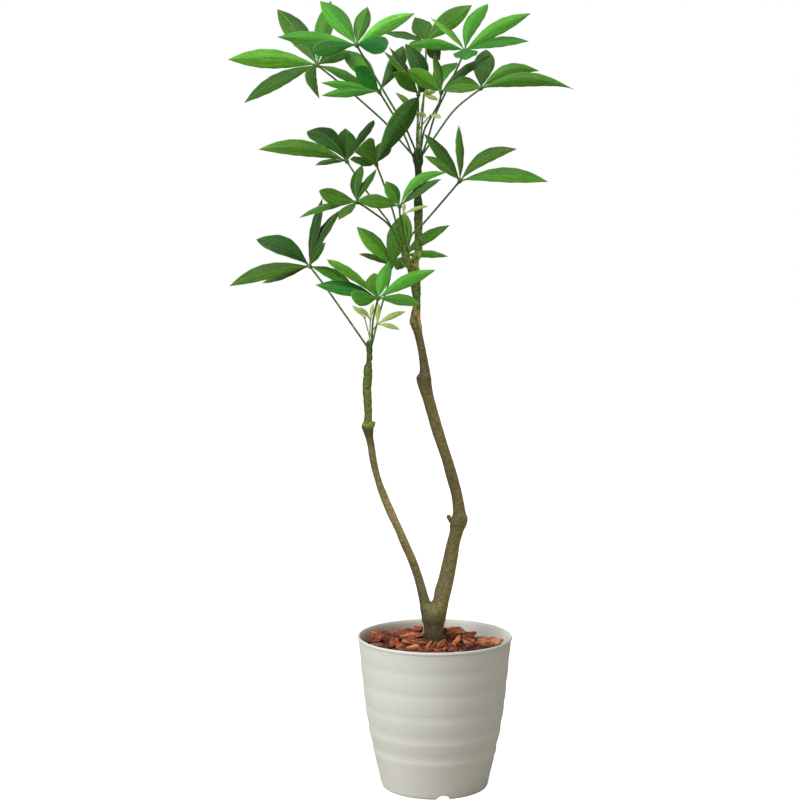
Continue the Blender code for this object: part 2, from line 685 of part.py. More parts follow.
def smooth_path(points, steps):
    """A smooth line through the points, evenly parted into steps."""
    ends = [points[0] * 2 - points[1]] + points + [points[-1] * 2 - points[-2]]
    fine = []
    for first, second, third, fourth in zip(ends, ends[1:], ends[2:], ends[3:]):
        for part in range(8):
            t = part / 8
            spot = second * 2 + (third - first) * t
            spot += (first * 2 - second * 5 + third * 4 - fourth) * t * t
            spot += (second * 3 - first - third * 3 + fourth) * t * t * t
            fine.append(spot / 2)
    fine.append(points[-1])
    lengths = [0.0]
    for near, far in zip(fine, fine[1:]):
        lengths.append(lengths[-1] + (far - near).length)
    path = []
    for number in range(steps + 1):
        goal = lengths[-1] * number / steps
        place = max(i for i, length in enumerate(lengths) if length <= goal + 1e-9)
        place = min(place, len(fine) - 2)
        span = lengths[place + 1] - lengths[place]
        path.append(fine[place].lerp(fine[place + 1], (goal - lengths[place]) / span))
    return path


def stalk(name, points, slot, radius, base, hub):
    """A leaf stalk: swollen foot, thin run and a round hub at its end."""
    young = slot == "young"
    path = smooth_path(points, YOUNG_STALK_STEPS if young else STALK_STEPS)
    ahead = (path[-1] - path[-2]).normalized()
    centres = path[:-1] + [path[-1] - ahead * hub * 1.3, path[-1], path[-1] + ahead * hub]
    radii = [base] + [radius] * (len(path) - 1) + [hub, hub * 0.45]
    side = ahead.orthogonal().normalized()
    rings = []
    for number, centre in enumerate(centres):
        before = centres[max(number - 1, 0)]
        after = centres[min(number + 1, len(centres) - 1)]
        along = (after - before).normalized()
        side = (side - along * side.dot(along)).normalized()
        other = along.cross(side)
        ring = []
        for corner in range(STALK_SIDES):
            angle = 2 * math.pi * corner / STALK_SIDES
            ring.append(centre + (side * math.cos(angle) + other * math.sin(angle)) * radii[number])
        rings.append(ring)
    return ring_body(name, rings, slot)


def blade_frame(start, tip, turn):
    """The length, run, cross and upward lines of a leaflet blade."""
    run = tip - start
    length = run.length
    run.normalize()
    sight = ((start + tip) / 2 - EYE).normalized()
    cross = sight.cross(run).normalized()
    if cross.z < 0:
        cross = -cross
    away = (sight - run * sight.dot(run)).normalized()
    cross = cross * math.cos(math.radians(turn)) + away * math.sin(math.radians(turn))
    upward = run.cross(cross)
    if upward.dot(sight) > 0:
        upward = -upward
    return length, run, cross, upward


def leaflet(name, start, row, slot):
    """One blade: oval and pointed, arched along its run and folded down from its midrib."""
    wide = row[3] * MM
    bow = row[5] if len(row) > 5 else BOW
    taper = row[6] if len(row) > 6 else WIDEST_END
    sway = Vector((row[7] * MM if len(row) > 7 else 0, 0, 0))
    start = start + (seen_at(row) - start).normalized() * NECK_START
    length, run, cross, upward = blade_frame(start, seen_at(row), row[4])
    stations = [0.0, 0.14, 0.44, 0.78, 1.0]
    if slot == "young":
        stations = [0.0, 0.5, 1.0]
    elif length < SHORT_LEAFLET:
        stations = [0.0, 0.2, 0.64, 1.0]
    elif length > LONG_LEAFLET:
        stations = [0.0, 0.12, 0.36, 0.62, 0.86, 1.0]
    if taper < BLUNT:
        stations.insert(-1, BLUNT_STATION)
    plumb = Vector((0, 0, 1)) - run * run.z
    arch = plumb * ARCH_UP + upward * ARCH_OUT
    peak = WIDEST_START / (WIDEST_START + taper)
    full = peak ** WIDEST_START * (1 - peak) ** taper
    rings = []
    for t in stations:
        swell = t ** WIDEST_START * (1 - t) ** taper / full
        floor = NECK_HALF * (1 - t) + TIP_HALF * t
        half = max(wide / 2 * swell, min(floor, wide / 4))
        centre = start + run * length * t + (arch * bow * length + sway) * 4 * t * (1 - t)
        drop = upward * -math.tan(FOLD) * half
        edge = cross * half
        lift = upward * BLADE / 2
        rings.append([
            centre - edge + drop + lift, centre + lift, centre + edge + drop + lift,
            centre + edge + drop - lift, centre - lift, centre - edge + drop - lift,
        ])
    return blade_body(name, rings, slot)


def blade_body(name, rings, slot):
    """Join the blade's sections with triangles laid alike on both faces."""
    points = [point for ring in rings for point in ring]
    faces = []
    for step in range(len(rings) - 1):
        low = step * 6
        high = low + 6
        faces += [(low, low + 1, high + 1), (low, high + 1, high)]
        faces += [(low + 1, low + 2, high + 1), (low + 2, high + 2, high + 1)]
        faces += [(low + 2, low + 3, high + 3), (low + 2, high + 3, high + 2)]
        faces += [(low + 3, low + 4, high + 4), (low + 3, high + 4, high + 3)]
        faces += [(low + 4, low + 5, high + 4), (low + 5, high + 5, high + 4)]
        faces += [(low + 5, low, high), (low + 5, high, high + 5)]
    last = (len(rings) - 1) * 6
    for start in (0, last):
        faces += [(start, start + 1, start + 5), (start + 1, start + 4, start + 5)]
        faces += [(start + 1, start + 2, start + 4), (start + 2, start + 3, start + 4)]
    return mesh_object(name, points, faces, slot, True)


def trim_against_trunk(body):
    """Cut a stalk off where it meets the wood."""
    apply_boolean(body, "DIFFERENCE", [build_trunk("cutter", TRUNK_CLEARANCE)])
    keep_main_shell(body)


def build_leaf(name, leaf):
    """A palmate leaf: stalk, hub and leaflets fused."""
    hub = seen_at(leaf["hub"])
    points = [seen_at(place) for place in leaf["stalk"]] + [hub]
    body = stalk(name, points, "leaf", STALK_RADIUS, STALK_BASE, HUB_RADIUS)
    blades = [leaflet("blade", hub, row, "leaf") for row in leaf["leaflets"]]
    apply_boolean(body, "UNION", blades)
    trim_against_trunk(body)
    return body


def build_shoot(name, stalks):
    """A young shoot: thin joined stalks with small pale leaflets."""
    pieces = []
    for part in stalks:
        hub = seen_at(part["hub"])
        points = [seen_at(place) for place in part["stalk"]] + [hub]
        pieces.append(stalk("twig", points, "young", YOUNG_STALK_RADIUS, STALK_RADIUS,
                            YOUNG_HUB_RADIUS))
        pieces += [leaflet("blade", hub, row, "young") for row in part["leaflets"]]
    body = pieces.pop(0)
    body.name = name
    body.data.name = name
    apply_boolean(body, "UNION", pieces)
    trim_against_trunk(body)
    return body


def build():
    clear_scene()
    build_pot()
    build_soil()
    build_bark()
    build_trunk("trunk", 0.0)
    for name, leaf in LEAVES.items():
        build_leaf(name, leaf)
    for name, stalks in SHOOTS.items():
        build_shoot(name, stalks)


build()
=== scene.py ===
"""A potted money tree: forked trunk, palmate leaves, bark mulch and a banded plastic pot."""

import math
import random

import bmesh
import bpy
from mathutils import Euler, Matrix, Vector, noise


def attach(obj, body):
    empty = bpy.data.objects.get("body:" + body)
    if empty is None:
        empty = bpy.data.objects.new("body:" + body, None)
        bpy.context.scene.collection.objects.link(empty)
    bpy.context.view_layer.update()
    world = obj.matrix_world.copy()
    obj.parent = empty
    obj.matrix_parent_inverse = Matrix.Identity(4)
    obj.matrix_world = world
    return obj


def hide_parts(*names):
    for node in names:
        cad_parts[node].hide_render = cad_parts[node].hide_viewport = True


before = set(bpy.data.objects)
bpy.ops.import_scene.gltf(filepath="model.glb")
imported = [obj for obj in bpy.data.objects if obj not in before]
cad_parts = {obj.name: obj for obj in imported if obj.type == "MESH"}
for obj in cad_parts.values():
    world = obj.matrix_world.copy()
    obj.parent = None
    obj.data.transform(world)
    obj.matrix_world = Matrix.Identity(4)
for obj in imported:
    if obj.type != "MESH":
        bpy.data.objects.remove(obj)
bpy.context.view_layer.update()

# The camera: a short telephoto at the height of the leaves, tipped a little down, so that
# the pot's rim shows as a flat oval and the crown is seen from just below its top.
MM = 0.001
VIEW_PX = 800
SENSOR_MM = 36
EYE = Vector((-0.0678, -3.30, 1.050))
EYE_PITCH = math.radians(5.1)
EYE_FOCAL_PX = 1722.0

camera_data = bpy.data.cameras.new("camera")
camera_data.sensor_width = SENSOR_MM
camera_data.lens = EYE_FOCAL_PX / VIEW_PX * SENSOR_MM
camera = bpy.data.objects.new("camera", camera_data)
camera.location = EYE
camera.rotation_euler = (math.pi / 2 - EYE_PITCH, 0, 0)
bpy.context.scene.collection.objects.link(camera)
bpy.context.scene.camera = camera


def seen_at(place):
    """The point seen at a picture column and row, at a depth in mm behind the pot's axis."""
    column, row, back = place[:3]
    side = (column - VIEW_PX / 2) / EYE_FOCAL_PX
    rise = (VIEW_PX / 2 - row) / EYE_FOCAL_PX
    cos_pitch = math.cos(EYE_PITCH)
    sin_pitch = math.sin(EYE_PITCH)
    line = Vector((side, cos_pitch + rise * sin_pitch, rise * cos_pitch - sin_pitch))
    return EYE + line * ((back * MM - EYE.y) / line.y)


# The studio: a white seamless floor and plain soft light. A large soft box stands to the
# left in front, a smaller one hangs above, a weak one is level with the leaves on the
# right, and the white room fills the rest.
FLOOR_HALF = 14.0
CEILING_LIGHT = 0.5
WALL_LIGHT = 0.1
# Name, place, aim, side in m and power in W.
SOFT_BOXES = [
    ("key_box", (-3.0, -2.0, 2.4), (-0.05, 0.0, 0.6), 2.8, 120),
    ("top_box", (-0.3, -0.7, 3.5), (-0.05, 0.0, 0.6), 2.6, 45),
    ("side_box", (1.6, -0.9, 1.8), (-0.05, 0.0, 1.0), 1.0, 3),
]


def linear(code, alpha=1.0):
    """An sRGB hex colour as linear values."""
    shares = [int(code[i:i + 2], 16) / 255 for i in (1, 3, 5)]
    return tuple(v / 12.92 if v <= 0.04045 else ((v + 0.055) / 1.055) ** 2.4 for v in shares) + (alpha,)


def add(tree, kind, settings=None, values=None, links=None, stops=None):
    """Add a node with its settings, socket values, links (from a socket or a node's first output in
    use) and colour stops. A pattern's scale is 1000 over the real size of its marks in mm."""
    made = tree.nodes.new("ShaderNode" + kind)
    for name, value in (settings or {}).items():
        setattr(made, name, value)
    for name, value in (values or {}).items():
        made.inputs[name].default_value = value
    for name, source in (links or {}).items():
        if isinstance(source, bpy.types.Node):
            source = next(outlet for outlet in source.outputs if outlet.enabled)
        tree.links.new(source, made.inputs[name])
    if stops:
        for spare in range(len(stops) - 2):
            made.color_ramp.elements.new(0.5)
        for element, (place, code) in zip(made.color_ramp.elements, stops):
            element.position = place
            element.color = linear(code)
    return made


def finish_material(build, values):
    """A new material, named for build(tree), which lays its nodes and gives the shader's links."""
    made = bpy.data.materials.new(build.__name__)
    made.use_nodes = True
    tree = made.node_tree
    tree.nodes.clear()
    shader = add(tree, "BsdfPrincipled", values=values, links=build(tree))
    add(tree, "OutputMaterial", links={"Surface": shader})
    return made


def mesh_piece(name, points, faces, smooth=True):
    """A new object from points and faces, with its normals facing out."""
    shape = bpy.data.meshes.new(name)
    shape.from_pydata([tuple(point) for point in points], [], faces)
    work = bmesh.new()
    work.from_mesh(shape)
    bmesh.ops.recalc_face_normals(work, faces=work.faces)
    work.to_mesh(shape)
    work.free()
    shape.polygons.foreach_set("use_smooth", [smooth] * len(shape.polygons))
    made = bpy.data.objects.new(name, shape)
    bpy.context.scene.collection.objects.link(made)
    return made


def seamless_paper(tree):
    """White photographic paper, its fibre drawn coarse at 4 mm, burnt out by its own light so that
    no horizon shows."""
    fibre = add(tree, "TexNoise", values={"Scale": 240.0, "Detail": 3.0})
    tone = add(tree, "ValToRGB", links={0: fibre}, stops=[(0.3, "#A8A28E"), (0.7, "#B4AE9A")])
    seen = add(tree, "LightPath")
    return {"Base Color": tone, "Emission Strength": seen.outputs["Is Camera Ray"]}


floor = mesh_piece("floor", [(-FLOOR_HALF, -FLOOR_HALF, 0), (FLOOR_HALF, -FLOOR_HALF, 0),
                             (FLOOR_HALF, FLOOR_HALF, 0), (-FLOOR_HALF, FLOOR_HALF, 0)],
                   [(0, 1, 2, 3)], False)
own_light = {"Emission Color": linear("#FFFFFF"), "Roughness": 0.9, "IOR": 1.5}
floor.data.materials.append(finish_material(seamless_paper, own_light))

for name, place, aim, size, power in SOFT_BOXES:
    light_data = bpy.data.lights.new(name, "AREA")
    light_data.size = size
    light_data.energy = power
    light = bpy.data.objects.new(name, light_data)
    light.location = place
    light.rotation_euler = (Vector(aim) - Vector(place)).to_track_quat("-Z", "Y").to_euler()
    bpy.context.scene.collection.objects.link(light)

room = bpy.data.worlds.new("white_room")
room.use_nodes = True
tree = room.node_tree
tree.nodes.clear()
white_room = add(tree, "Background", values={"Color": linear("#FFFFFF"), "Strength": 1.0})
aim = add(tree, "TexCoord")
aim_parts = add(tree, "SeparateXYZ", links={0: aim.outputs["Generated"]})
room_light = add(tree, "MapRange", values={1: 0.0, 2: 0.9, 3: WALL_LIGHT, 4: CEILING_LIGHT},
                 links={0: aim_parts.outputs[2]})
lit_room = add(tree, "Background", values={"Color": linear("#FFFFFF")}, links={"Strength": room_light})
ray = add(tree, "LightPath")
either = add(tree, "MixShader", links={0: ray.outputs["Is Camera Ray"], 1: lit_room, 2: white_room})
add(tree, "OutputWorld", links={"Surface": either})
bpy.context.scene.world = room
bpy.context.scene.view_settings.view_transform = "Standard"

# The pot: one injection moulding in polypropylene with a thin rolled lip. Its wall steps
# in under each of five shallow bands, and arches in the foot let water drain.
POT_HEIGHT = 296 * MM
RIM_RADIUS = 150 * MM
POT_SIDES = 144
FOOT_RING_INNER = 92 * MM
FOOT_RECESS = 7 * MM
FLOOR_TOP = 11 * MM
BOSS_RADIUS = 22 * MM
NOTCH_COUNT = 4
NOTCH_WIDTH = 27 * MM
NOTCH_HEIGHT = 9 * MM
FIRST_NOTCH = math.radians(-82)
DRAIN_COUNT = 4
DRAIN_RADIUS = 7 * MM
DRAIN_SIDES = 24
DRAIN_CIRCLE = 62 * MM
# The inside of the wall is tinted warm as painted bounce light from the bark. Below the lip it takes bark
# dust and painted shade, heavier deeper down and heaviest on the side toward -X, which is turned from the
# key light.
INNER_WALL_BOUNCE_TINT = "#FFFCF3"
BARK_DUST_AND_SHADE = "#BE8C54"
DUST_AND_SHADE_TOP = 293 * MM
DUST_AND_SHADE_EVEN = 0.55
SHADE_SIDE = 0.85
MULCH_LINE = 262 * MM
WALL_SLOPE = 0.135
# Height of each band's lower edge, the radius it swells to there and the one it steps in to, in mm.
POT_BANDS = [(259, 145.3, 143.8), (216, 141.2, 139.6), (172, 136.7, 135.1), (129, 130.4, 128.8),
             (88, 122.4, 120.6)]
BAND_BULGE = 0.35
BAND_FALL = 16
BAND_ROUND = 2.3
LIP_LINE = [(148.0, 296.0), (148.7, 295.8), (149.3, 295.2), (149.7, 294.3), (149.9, 293.2),
            (150.0, 292.0), (149.9, 291.1), (149.5, 290.5), (148.8, 290.1), (148.3, 289.5), (148.1, 288.4)]
FOOT_LINE = [(117.4, 62), (114.2, 46), (108.6, 24), (105.9, 10), (104.9, 5.4), (104.0, 3), (102.8, 1.2),
             (101.2, 0.3), (99.4, 0)]


def band_profile():
    """The outside from the lip to the foot: each band swells, then rolls in to the next."""
    line = list(LIP_LINE)
    upper_radius = 147.9
    upper = 286.0
    for height, swell, step in POT_BANDS:
        for part in range(1, 7):
            t = part / 6
            bulge = BAND_BULGE * math.sin(math.pi * t)
            line.append((upper_radius + (swell - upper_radius) * t + bulge, upper + (height - upper) * t))
        for part in range(1, 9):
            t = part / 8
            fall = (swell - step) * (1 - (1 - t) ** BAND_ROUND)
            line.append((swell - fall, height - 0.8 - BAND_FALL * t ** 1.2))
        upper_radius = step
        upper = height - 1.5 - BAND_FALL
    return [(radius * MM, height * MM) for radius, height in line + FOOT_LINE]


def circle(centre, radius, sides):
    """A level ring of points."""
    angles = [2 * math.pi * side / sides for side in range(sides)]
    return [centre + Vector((math.cos(angle), math.sin(angle), 0)) * radius for angle in angles]


def ring_faces(ring_count, sides, first=0):
    """The faces of a closed tube of rings, counted from the first point."""
    faces = []
    for step in range(ring_count - 1):
        low = first + step * sides
        for side in range(sides):
            beside = (side + 1) % sides
            faces.append((low + side, low + beside, low + sides + beside, low + sides + side))
    faces.append(tuple(range(first + sides - 1, first - 1, -1)))
    faces.append(tuple(range(first + (ring_count - 1) * sides, first + ring_count * sides)))
    return faces


def settle(piece):
    """Turn a piece's modifiers into its mesh."""
    bpy.context.view_layer.update()
    graph = bpy.context.evaluated_depsgraph_get()
    shape = bpy.data.meshes.new_from_object(piece.evaluated_get(graph))
    piece.modifiers.clear()
    piece.data = shape


def smooth_all(piece):
    """Shade every face of a piece smooth."""
    piece.data.polygons.foreach_set("use_smooth", [True] * len(piece.data.polygons))


def write_vectors(piece, name, vectors):
    """Keep one vector for each point of a piece, for its material."""
    kept = piece.data.attributes.new(name, "FLOAT_VECTOR", "POINT")
    kept.data.foreach_set("vector", [value for vector in vectors for value in vector])


def within(value, low, high):
    """A value kept between two limits."""
    return min(max(value, low), high)


MULTIPLY = {"data_type": "RGBA", "blend_type": "MULTIPLY"}


def moulded_polypropylene(tree):
    """Pale grey PP with a matt mould texture, drawn coarse at 1.1 mm to show: it softens the light, is
    faintly clouded over 110 mm with upright flow lines 6 mm apart, and inside it carries bark dust with
    painted warm bounce light and painted shade, heaviest toward -X."""
    place = add(tree, "TexCoord").outputs["Object"]
    dust_and_shade = add(tree, "Attribute", {"attribute_name": "dust_and_shade"})
    cloud = add(tree, "TexNoise", values={"Scale": 9.0, "Detail": 4.0, "Roughness": 0.6},
                links={"Vector": place})
    tone = add(tree, "ValToRGB", links={0: cloud},
               stops=[(0.3, "#DEDFDC"), (0.52, "#E1E2DF"), (0.75, "#E4E5E2")])
    stretch = add(tree, "Mapping", values={"Scale": (160.0, 160.0, 14.0)}, links={"Vector": place})
    flow = add(tree, "TexNoise", values={"Scale": 1.0, "Detail": 2.0}, links={"Vector": stretch})
    grain = add(tree, "TexNoise", values={"Scale": 900.0, "Detail": 2.0}, links={"Vector": place})
    shade = add(tree, "MapRange", values={1: 0.3, 2: 0.7, 3: 0.98, 4: 1.01}, links={0: flow})
    clouded = add(tree, "Mix", MULTIPLY, {0: 1.0}, {6: tone, 7: shade})
    dusty_and_shaded = add(tree, "Mix", MULTIPLY, {0: 1.0}, {6: clouded, 7: dust_and_shade.outputs["Vector"]})
    bump = add(tree, "Bump", values={"Strength": 0.25, "Distance": 0.0004}, links={"Height": grain})
    return {"Base Color": dusty_and_shaded, "Normal": bump}


pot_line = band_profile()
pot_line += [(FOOT_RING_INNER + 1.5 * MM, 0.0), (FOOT_RING_INNER, 0.6 * MM),
             (FOOT_RING_INNER - 1 * MM, FOOT_RECESS), (BOSS_RADIUS + 1 * MM, FOOT_RECESS),
             (BOSS_RADIUS, 0.4 * MM), (BOSS_RADIUS - 0.5 * MM, 0.0), (0.2 * MM, 0.0)]
inside_line = [(0.2 * MM, FLOOR_TOP), (98 * MM, FLOOR_TOP), (101 * MM, 13 * MM), (109.6 * MM, 46 * MM),
               (131.6 * MM, 172 * MM), (140.6 * MM, 258 * MM), (144.2 * MM, 288 * MM),
               (145.6 * MM, 291.5 * MM), (146.9 * MM, 294.6 * MM), (147.6 * MM, 295.7 * MM)]
pot_points = []
for radius, height in inside_line + pot_line:
    pot_points += circle(Vector((0, 0, height)), radius, POT_SIDES)
pot_rings = len(inside_line + pot_line)
pot = mesh_piece("moulded_pot", pot_points, ring_faces(pot_rings, POT_SIDES))
# The drain arches in the foot, half width and height as shares, and the holes in the floor.
arch_line = [(-0.5, -0.4), (-0.49, 0.1), (-0.45, 0.42), (-0.36, 0.7), (-0.22, 0.92), (-0.1, 0.99),
             (0.1, 0.99), (0.22, 0.92), (0.36, 0.7), (0.45, 0.42), (0.49, 0.1), (0.5, -0.4)]
arch_points = []
arch_faces = []
for number in range(NOTCH_COUNT):
    angle = FIRST_NOTCH + 2 * math.pi * number / NOTCH_COUNT
    outward = Vector((math.cos(angle), math.sin(angle), 0))
    across = Vector((-math.sin(angle), math.cos(angle), 0))
    arch_faces += ring_faces(2, len(arch_line), len(arch_points))
    for reach in (FOOT_RING_INNER - 8 * MM, FOOT_RING_INNER + 20 * MM):
        for side, height in arch_line:
            arch_points.append(outward * reach + across * side * NOTCH_WIDTH
                               + Vector((0, 0, height * NOTCH_HEIGHT)))
for number in range(DRAIN_COUNT):
    angle = FIRST_NOTCH + math.pi * (2 * number + 1) / DRAIN_COUNT
    middle = Vector((math.cos(angle), math.sin(angle), 0)) * DRAIN_CIRCLE
    arch_faces += ring_faces(2, DRAIN_SIDES, len(arch_points))
    for height in (FOOT_RECESS - 2 * MM, FLOOR_TOP + 2 * MM):
        arch_points += circle(middle + Vector((0, 0, height)), DRAIN_RADIUS, DRAIN_SIDES)
arches = mesh_piece("arches", arch_points, arch_faces, False)
notch = pot.modifiers.new("arches", "BOOLEAN")
notch.object = arches
notch.solver = "MANIFOLD"
settle(pot)
bpy.data.objects.remove(arches, do_unlink=True)
smooth_all(pot)
# The inner wall: a painted warm bounce tint, and below the lip a share of the dust tone for bark dust and
# painted shade, growing toward the mulch and toward -X.
inner_bounce_tone = Vector(linear(INNER_WALL_BOUNCE_TINT)[:3])
dust_and_shade_tone = Vector(linear(BARK_DUST_AND_SHADE)[:3])
dust_and_shade_tones = []
for point in pot.data.vertices:
    radius = math.hypot(point.co.x, point.co.y)
    wall = RIM_RADIUS - 4 * MM - (POT_HEIGHT - point.co.z) * WALL_SLOPE
    inside = point.co.z > MULCH_LINE - 10 * MM and radius < wall + 1.5 * MM
    depth = within((DUST_AND_SHADE_TOP - point.co.z) / (DUST_AND_SHADE_TOP - MULCH_LINE), 0, 1) ** 0.5
    thick = depth * within(DUST_AND_SHADE_EVEN - SHADE_SIDE * point.co.x / radius, 0, 1)
    dust_and_shade_tones.append(inner_bounce_tone.lerp(dust_and_shade_tone, thick) if inside else Vector((1, 1, 1)))
write_vectors(pot, "dust_and_shade", dust_and_shade_tones)
pot.data.materials.clear()
pot.data.materials.append(finish_material(moulded_polypropylene, {"Roughness": 0.5, "IOR": 1.49}))
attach(pot, "root")
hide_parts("pot")

# The soil: dark peat-based potting mix that fills the pot under the mulch. Its solid is
# right as packed and only its crumbly finish is added.
SOIL_CRUMB_MM = 4.0


def potting_mix(tree):
    """Moist peat and bark fines: near black crumbs with paler bits, matt all over."""
    place = add(tree, "TexCoord").outputs["Object"]
    crumb = add(tree, "TexVoronoi", values={"Scale": 1000 / SOIL_CRUMB_MM}, links={"Vector": place})
    tone = add(tree, "ValToRGB", links={0: crumb.outputs["Color"]},
               stops=[(0.1, "#1A120C"), (0.6, "#2C1F15"), (0.95, "#4A3826")])
    bump = add(tree, "Bump", values={"Strength": 0.8, "Distance": 0.002}, links={"Height": crumb})
    return {"Base Color": tone, "Normal": bump}


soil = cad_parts["soil"]
soil.material_slots[0].material = finish_material(potting_mix, {"Roughness": 0.95, "IOR": 1.5})

# The mulch: red-brown pine bark, split and tumbled, so that each chip is a flake of layers
# with worn corners. The chips lie loose on one another, and those at the wall stand higher.
MULCH_WALL_TOP = 266 * MM
MULCH_MIDDLE_TOP = 275 * MM
MULCH_EDGE = 139.0 * MM
MULCH_BED_DROP = 13 * MM
SMALL_CHIPS = 300
MULCH_SEED = 11
GOLDEN_ANGLE = math.radians(137.5)
CHIP_RINGS = 14
CHIP_SIDES = 18
CHIP_LUMP = 11 * MM
LUMP_SHARE = 0.24
CHIP_LAYER = 3.2 * MM
LAYER_SHARE = 0.14
BED_SIDES = 72
ROOT_X = -0.8 * MM
ROOT_BACK = 18 * MM
ROOT_HOLE = 18.4 * MM
# The chips that can be told apart: picture column and row, mm behind the pot's axis,
# length, width and thickness in mm, turn, lean and roll in degrees, and how bright and warm.
CLEAR_CHIPS = [
    (376, 638, 35, 25, 29, 13, -15, 5, 60, 0.95, 0.85),
    (386.2, 638.5, 40, 24, 31, 15, 20, -5, 60, 0.55, 1.1), (378, 645, 2, 34, 12, 6, 10, 8, 20, 1.1, 1),
    (403, 633, 92, 44, 17, 9, 8, -8, 35, 0.7, 0.85), (418, 630, 110, 24, 15, 10, -5, -10, 40, 0.95, 0.9),
    (411, 635.3, 68, 52, 14, 7, 6, -3, 30, 1.35, 1.2), (413, 640, 42, 46, 10, 6, -3, 3, 25, 0.95, 1),
    (415.3, 643, -7, 54, 11, 6, -6, 5, 25, 0.95, 1), (393.6, 644, 14, 32, 15, 11, 50, -35, 20, 1.1, 0.9),
    (400.2, 647.8, -8, 21, 16, 10, 60, -25, 20, 1.2, 0.9),
    (406.4, 647.8, -2, 18, 11, 8, 60, -20, 10, 0.5, 1),
    (413, 648.5, -16, 28, 15, 10, 25, -20, 30, 1.5, 1.15),
    (419.8, 649.4, -22, 20, 12, 8, 45, -25, 10, 0.85, 0.9),
    (427, 647.8, -18, 34, 9, 7, 45, -32, 0, 1.35, 1.15), (432.6, 646, -12, 22, 9, 7, 45, -30, 0, 0.9, 1),
    (440.5, 644.6, -9, 32, 10, 8, 42, -28, 10, 1.2, 1),
    (436.2, 650, -34, 22, 10, 7, 10, -10, 25, 1.2, 0.9),
    (444.2, 649.5, -28, 16, 10, 7, 30, -30, 10, 1, 0.9),
    (453.7, 645, -4, 46, 11, 9, 38, -36, 15, 1.55, 1.2),
    (453.8, 634.7, 56, 39, 31, 13, 4, 0, 62, 1.1, 1.15), (444.8, 632, 66, 10, 17, 6, 20, 0, 70, 0.6, 1.1),
    (470, 633.6, 84, 26, 9, 7, -12, -6, 10, 0.95, 0.95), (469.3, 638, 52, 24, 11, 8, 8, 6, 30, 0.9, 0.9),
    (469.3, 643.5, 10, 30, 23, 9, -10, 28, 45, 1.05, 1.1),
    (489.5, 643.3, 8, 52, 21, 9, -3, -3, 45, 1.05, 1.2), (482, 638.5, 50, 30, 8, 6, -4, 2, 20, 0.6, 1)
]


def bark_chip(draw, centre, length, width, thick, turn, lean, roll):
    """Points, faces and grain places of one worn flake of bark."""
    points = []
    grain = []
    bend = draw.uniform(-0.12, 0.12)
    seed = Vector((draw.uniform(0, 50), draw.uniform(0, 50), draw.uniform(0, 50)))
    taper = draw.uniform(0.4, 0.85)
    slant = draw.uniform(-0.25, 0.25)
    turned = Euler((roll, lean, turn))
    for ring in range(CHIP_RINGS):
        t = ring / (CHIP_RINGS - 1)
        along = (t - 0.5) * length
        swell = (1 - abs(2 * t - 1) ** 7) ** 0.7 * (1 - (1 - taper) * max(0, 2 * t - 1) ** 2) + 0.05
        for side in range(CHIP_SIDES):
            angle = 2 * math.pi * side / CHIP_SIDES
            flat = math.copysign(abs(math.cos(angle)) ** 0.5, math.cos(angle))
            rise = math.copysign(abs(math.sin(angle)) ** 0.6, math.sin(angle))
            spot = Vector((along + slant * flat * width / 2, flat * width / 2 * swell,
                           rise * thick / 2 * (0.5 + 0.5 * swell)))
            spot.z += bend * length * (4 * (t - 0.5) ** 2)
            rough = noise.noise_vector(spot / CHIP_LUMP + seed) * LUMP_SHARE
            flake = Vector((spot.x * 0.25, spot.y, spot.z * 2.2)) / CHIP_LAYER + seed
            layer = noise.noise(flake) * LAYER_SHARE
            spot += rough * min(width, thick * 1.3)
            spot += Vector((0, flat, rise)) * layer * thick
            grain.append(Vector((along, flat * width / 2, rise * thick / 2)) + seed)
            spot.rotate(turned)
            points.append(centre + spot)
    return points, ring_faces(CHIP_RINGS, CHIP_SIDES), grain


def split_pine_bark(tree):
    """Weathered pine bark: rust-red cork in streaks 22 mm long and layers 3 to 6 mm thick, dark in the
    splits between them and blotched over 6 mm. Its tint holds each chip's own brightness and warmth
    together with painted shade under the chips and in the gaps."""
    grain = add(tree, "Attribute", {"attribute_name": "grain"}).outputs["Vector"]
    tint = add(tree, "Attribute", {"attribute_name": "tint"})
    layers = add(tree, "Mapping", values={"Scale": (45.0, 170.0, 330.0)}, links={"Vector": grain})
    lines = add(tree, "TexNoise", values={"Scale": 1.0, "Detail": 5.0, "Roughness": 0.65},
                links={"Vector": layers})
    blotch = add(tree, "TexNoise", values={"Scale": 170.0, "Detail": 4.0}, links={"Vector": grain})
    tone = add(tree, "ValToRGB", links={0: lines},
               stops=[(0.38, "#34100A"), (0.46, "#A64E2C"), (0.565, "#C8764A"), (0.7, "#EAB890")])
    patch = add(tree, "ValToRGB", links={0: blotch},
                stops=[(0.32, "#8C7468"), (0.5, "#E8E0D8"), (0.7, "#FFFFFF")])
    aged = add(tree, "Mix", MULTIPLY, {0: 0.75}, {6: tone, 7: patch})
    tinted = add(tree, "Mix", MULTIPLY, {0: 1.0}, {6: aged, 7: tint})
    bump = add(tree, "Bump", values={"Strength": 1.0, "Distance": 0.002}, links={"Height": lines})
    return {"Base Color": tinted, "Normal": bump}


def moved_faces(faces, first):
    """Faces as they count after the points that a piece already has."""
    return [tuple(first + corner for corner in face) for face in faces]


